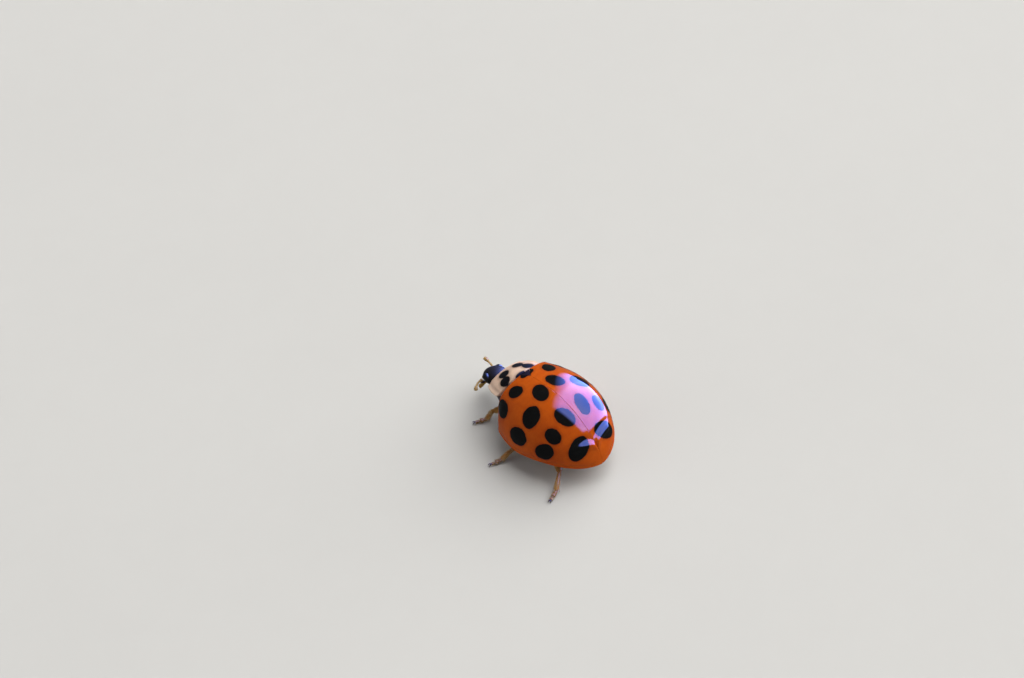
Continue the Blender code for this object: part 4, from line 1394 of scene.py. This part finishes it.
class LadybirdShape(bpy.types.PropertyGroup):
    """Sizes of the plates, legs and bristles"""
    case_wall: length_setting("Wing case wall", "Thickness of a wing case", 0.00040, 0.0001, 0.0005)
    shield_wall: length_setting("Shield wall", "Thickness of the shield", 0.00034, 0.0001, 0.00045)
    tip_ridge: length_setting("Tip ridge", "Height of the cross ridge near the tip of the wing cases",
                              0.00011, 0.0, 0.0002, precision=6)
    spot_size: factor_setting("Spot size", "Size of the black spots, 1 as drawn", 0.3, 1.5)
    leg_thickness: factor_setting("Leg thickness", "Thickness of the legs, 1 as drawn", 0.6, 1.2)
    bristle_length: length_setting("Bristle length", "Length of the bristles on the shins", 0.00015, 0.0, 0.0003)
    bristles_per_leg: IntProperty(name="Bristles", description="Number of bristles on each shin and foot",
                                  default=150, min=1, max=600)


class LadybirdColours(bpy.types.PropertyGroup):
    """Pigments of the ladybird"""
    case: colour_setting("Wing case", "Orange of the wing cases", (0.560, 0.098, 0.004))
    case_shade: colour_setting("Wing case, deeper", "Deeper orange that mottles the wing cases",
                               (0.400, 0.054, 0.003))
    spot: colour_setting("Black", "Black of the spots, marks and head", (0.003, 0.003, 0.003))
    shield: colour_setting("Shield", "Cream of the shield", (0.760, 0.560, 0.430))
    shield_shade: colour_setting("Shield, deeper", "Deeper cream that mottles the shield", (0.640, 0.420, 0.300))
    eye: colour_setting("Eyes", "Black of the eyes", (0.008, 0.009, 0.012))
    mouth: colour_setting("Mouthparts", "Yellow-brown of feelers, palps and lip", (0.500, 0.330, 0.070))
    mouth_shade: colour_setting("Mouthparts, deeper", "Brown that mottles them", (0.320, 0.150, 0.030))
    underside: colour_setting("Thorax", "Dark brown under the thorax", (0.060, 0.024, 0.010))
    underside_shade: colour_setting("Thorax, deeper", "Near black that mottles it", (0.025, 0.012, 0.008))
    belly: colour_setting("Belly", "Orange-brown of the belly plates", (0.280, 0.090, 0.020))
    belly_shade: colour_setting("Belly, deeper", "Brown that mottles the belly plates", (0.120, 0.036, 0.012))
    limb: colour_setting("Legs", "Yellow-brown of the legs", (0.500, 0.260, 0.060))
    limb_shade: colour_setting("Legs, deeper", "Reddish brown that mottles the legs", (0.300, 0.110, 0.026))
    foot: colour_setting("Feet", "Brown of the feet", (0.340, 0.150, 0.036))
    bristle: colour_setting("Bristles", "Pale gold of the bristles", (0.620, 0.470, 0.240))


class LadybirdStage(bpy.types.PropertyGroup):
    """Floor and lights"""
    floor_colour: colour_setting("Floor", "Pale colour of the floor", (0.62, 0.62, 0.605))
    glow_colour: colour_setting("Mirrored light colour", "Colour of the large light that glossy shells mirror",
                                (0.14, 0.25, 1.0))
    glow_power: power_setting("Mirrored light", "Power of the large light that glossy shells mirror", 2.60)
    window_power: power_setting("Window light", "Power of the large soft light", 15.7)
    fill_power: power_setting("Fill light", "Power of the weak front light", 1.35)
    room_light: FloatProperty(name="Room light", description="Strength of the even light from all round",
                              default=0.12, min=0.0, max=5.0)


MAKERS = (LADYBIRD_OT_wing_cases, LADYBIRD_OT_scutellum, LADYBIRD_OT_shield, LADYBIRD_OT_underside,
          LADYBIRD_OT_head, LADYBIRD_OT_mouth, LADYBIRD_OT_legs, LADYBIRD_OT_bristles, LADYBIRD_OT_stage)
GROUPS = {"ladybird_shape": LadybirdShape, "ladybird_colours": LadybirdColours, "ladybird_stage": LadybirdStage}


class LADYBIRD_PT_makers(bpy.types.Panel):
    """The ladybird's settings and the buttons that make its pieces"""
    bl_idname = "LADYBIRD_PT_makers"
    bl_label = "Ladybird"
    bl_space_type = "VIEW_3D"
    bl_region_type = "UI"
    bl_category = "Ladybird"

    def draw(self, context):
        for maker in MAKERS:
            self.layout.operator(maker.bl_idname)
        for key, group in GROUPS.items():
            box = self.layout.box()
            for name in group.__annotations__:
                box.prop(getattr(context.scene, key), name)


def register():
    for cls in (*GROUPS.values(), *MAKERS, LADYBIRD_PT_makers):
        bpy.utils.register_class(cls)
    for key, group in GROUPS.items():
        setattr(bpy.types.Scene, key, PointerProperty(type=group))


def unregister():
    for key in GROUPS:
        delattr(bpy.types.Scene, key)
    for cls in reversed((*GROUPS.values(), *MAKERS, LADYBIRD_PT_makers)):
        bpy.utils.unregister_class(cls)


def main():
    register()
    for maker in MAKERS:
        group, name = maker.bl_idname.split(".")
        getattr(getattr(bpy.ops, group), name)()


if __name__ == "__main__":
    main()
